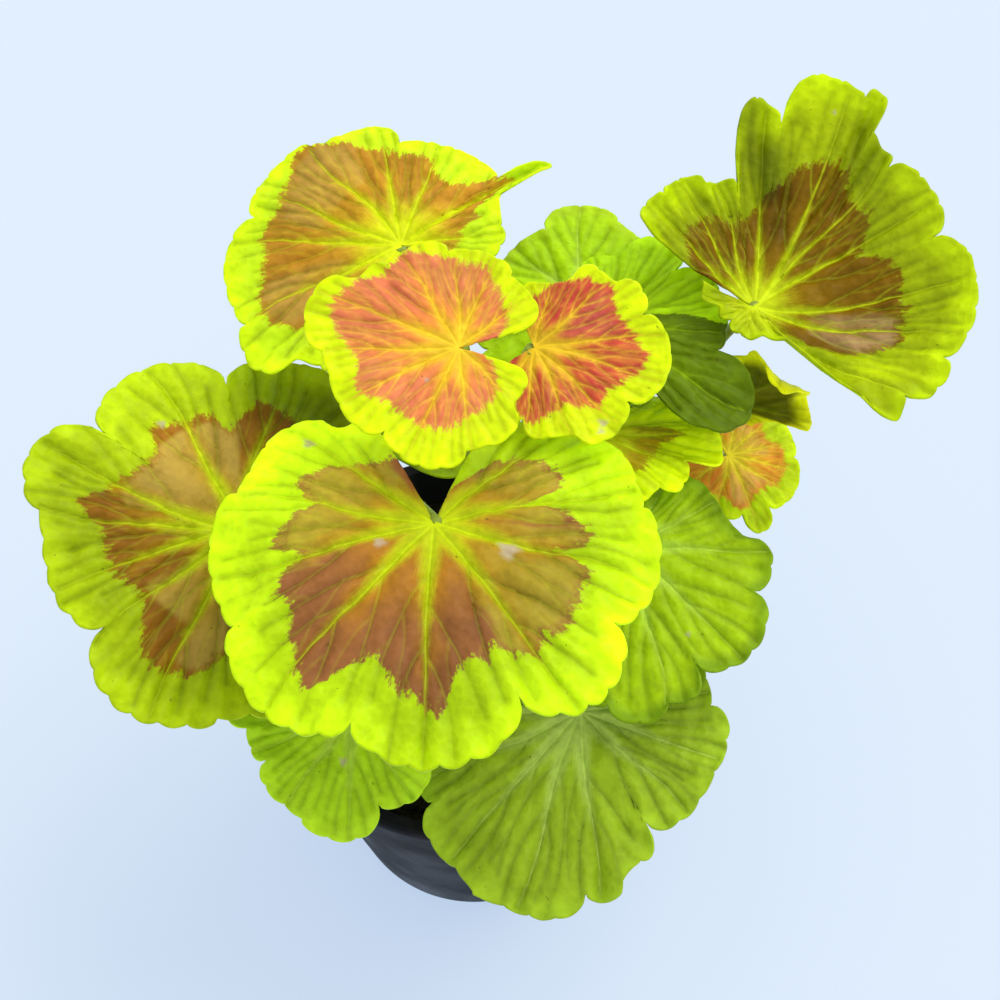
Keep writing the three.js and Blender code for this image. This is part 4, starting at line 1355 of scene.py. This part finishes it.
def face_finish(leaf):
    material, nodes, shader = new_material(leaf["name"] + "_face", 0.42, 0.09)
    made = nodes.add("ShaderNodeGroup", {
        "Lamina": rgba(leaf["lamina"]),
        "Rim": rgba(leaf["rim"]),
        "Zone": rgba(leaf["zone_colour"]),
        "Tint": rgba(leaf["tint_colour"]),
        "Warm": rgba(leaf["warm"]),
        "Vein": rgba(leaf["vein"]),
        "Margin": leaf["margin"],
        "Feather": FEATHER * min(1.0, leaf["span"] / 40.0),
    }, node_tree=paint.tree)
    nodes.feed(made["Colour"], shader["Base Color"])
    nodes.feed(nodes.stepped(made["Mark"], 0.0, 1.0, 0.46, 0.7), shader["Roughness"])
    nodes.bump(shader, made["Height"], 0.7, 0.0004)
    return material


def back_finish(leaf):
    material, nodes, shader = new_material(leaf["name"] + "_back", 0.6, 0.12)
    shade, height = mottled(nodes, leaf["back"], 0.02, 0.4, 0.0009, 0.25)
    shield = nodes.times(nodes.stepped(nodes.carried("zone"), -1.5, 2.0), 0.3)
    shade = nodes.mixed(shield, shade, rgba(leaf["zone_colour"]))
    ribs = nodes.times(nodes.carried("vein"), 0.5)
    shade = nodes.mixed(ribs, shade, rgba([0.6 * v for v in leaf["vein"]]))
    nodes.feed(shade, shader["Base Color"])
    nodes.bump(shader, height, 0.3, 0.0003)
    return material


# %% [markdown]
# ## The stalks, and all the leaves
# Each stalk leaves the stem at its joint and curves up under its blade, as in the frame. It is
# joined to the blade, because leaf and stalk grew as one.

# %% Stalk shape
STALK_RADIUS = 1.3
STALK_RISE = 0.3
STALK_END = 1.1
STALK_STEPS = 46
STALK_SIDES = 14


def stalk_path(leaf):
    """From the stem's joint up to the middle of the blade's underside."""
    end = np.array(leaf["at"], float)
    centre, radius, out = joint_of(leaf)
    first = unit(out + UP * STALK_RISE)
    begin = centre + out * (radius - 0.4)
    length = np.linalg.norm(end - begin)
    arrival = leaf.get("arrival", 0.75 * leaf_frame(leaf)[2] + 0.45 * out)
    last = unit(np.array(arrival))
    sway = np.array(leaf["sway"], float)
    controls = (
        begin, begin + first * 0.4 * length + sway, end - last * 0.35 * length + sway, end - last * STALK_END,
    )
    return bezier(controls, STALK_STEPS)


def stalk_mesh(name, path):
    """A stalk, a little thicker at both ends."""
    t = np.linspace(0.0, 1.0, STALK_STEPS)
    radii = STALK_RADIUS * (1.0 + 0.22 * np.exp(-((t / 0.05) ** 2)) - 0.12 * np.sin(math.pi * t))
    radii = radii * (1.0 + 0.12 * np.exp(-(((1.0 - t) / 0.03) ** 2)))
    return tube_object(name, path, radii, STALK_SIDES)


# %% Every leaf
stalk_paths = []
for number, leaf in enumerate(LEAVES):
    blade = blade_mesh(leaf, random.Random(100 + number))
    path = stalk_path(leaf)
    stalk_paths.append(path)
    stalk = stalk_mesh(leaf["name"] + "_stalk", path)
    for material in (face_finish(leaf), back_finish(leaf)):
        blade.data.materials.append(material)
    stalk.data.materials.append(petiole_finish)
    piece = join([blade, stalk])
    kept = list(piece.data.materials)
    indices = [p.material_index for p in piece.data.polygons]
    finish_piece(piece, leaf["name"] + "_blade", leaf["name"], kept)
    piece.data.polygons.foreach_set("material_index", indices)

# %% [markdown]
# ## Fine hairs
# Young stem and stalks of a pelargonium are softly hairy. Each hair is a three-sided spike of half a
# millimetre or so, set by a seeded draw, and together they are one piece.

# %% Hairs on stem and stalks
HAIRS_PER_MM = 1.6
HAIR_LENGTH = (0.35, 0.8)
HAIR_ROOT = 0.035
HAIR_SINK = 0.05

hair_points = []
hair_faces = []
dice = random.Random(7)


def add_hair(root, tip, across, along):
    first = len(hair_points)
    for k in range(3):
        angle = 2.0 * math.pi * k / 3.0
        hair_points.append(root + HAIR_ROOT * (math.cos(angle) * across + math.sin(angle) * along))
    hair_points.append(tip)
    sides = [(0, 1, 3), (1, 2, 3), (2, 0, 3), (2, 1, 0)]
    hair_faces.extend([tuple(first + k for k in side) for side in sides])


def hairs_along(path, radii):
    tangents = unit(np.gradient(path, axis=0))
    lengths = np.concatenate([[0.0], np.cumsum(np.linalg.norm(np.diff(path, axis=0), axis=1))])
    for _ in range(int(lengths[-1] * HAIRS_PER_MM)):
        where = dice.uniform(0.02, 0.96) * lengths[-1]
        i = min(len(path) - 2, int(np.searchsorted(lengths, where)))
        tangent = tangents[i]
        side = unit(np.cross(tangent, [0.2, 0.5, 0.84]))
        turn = dice.uniform(0.0, 2.0 * math.pi)
        out = math.cos(turn) * side + math.sin(turn) * np.cross(tangent, side)
        root = path[i] + out * (radii[i] - HAIR_SINK)
        tip = root + unit(out + 0.4 * tangent) * dice.uniform(*HAIR_LENGTH)
        add_hair(root, tip, unit(np.cross(out, tangent)), tangent)


for path in stalk_paths:
    hairs_along(path, np.full(STALK_STEPS, STALK_RADIUS * 0.92))
above = heights > SOIL_LEVEL + 1.0
hairs_along(line[above], stem_radii[above])
hairs = mesh_object("hairs", hair_points, hair_faces, smooth=False)
turn_outward(hairs)
hair_finish, nodes, shader = new_material("hair_finish", 0.6, 0.3)
colour = mottled(nodes, (0.62, 0.68, 0.40), 0.01, 0.3, 0.001, 0.2)[0]
nodes.feed(colour, shader["Base Color"])
finish_piece(hairs, "fine_hairs", None, [hair_finish])

# %% [markdown]
# ## The floor
# The plant stands on a plain, pale, slightly blue surface that runs out of the picture on all sides.
# Much of its light is its own, so that its shade stays pale and blue.

# %% Floor
FLOOR_SIZE = 6.0
FLOOR_DROP = 0.2

floor = added(bpy.ops.mesh.primitive_plane_add, size=FLOOR_SIZE, location=(0.0, 0.0, -FLOOR_DROP * MM))
floor.name = "floor"
apply_place(floor)
floor_finish, nodes, shader = new_material("floor_finish", 0.9, 0.1)
shader["Base Color"].default_value = rgba((0.285, 0.265, 0.205))
shader["Emission Color"].default_value = rgba((0.40, 0.53, 0.74))
shader["Emission Strength"].default_value = 1.0
floor.data.materials.append(floor_finish)
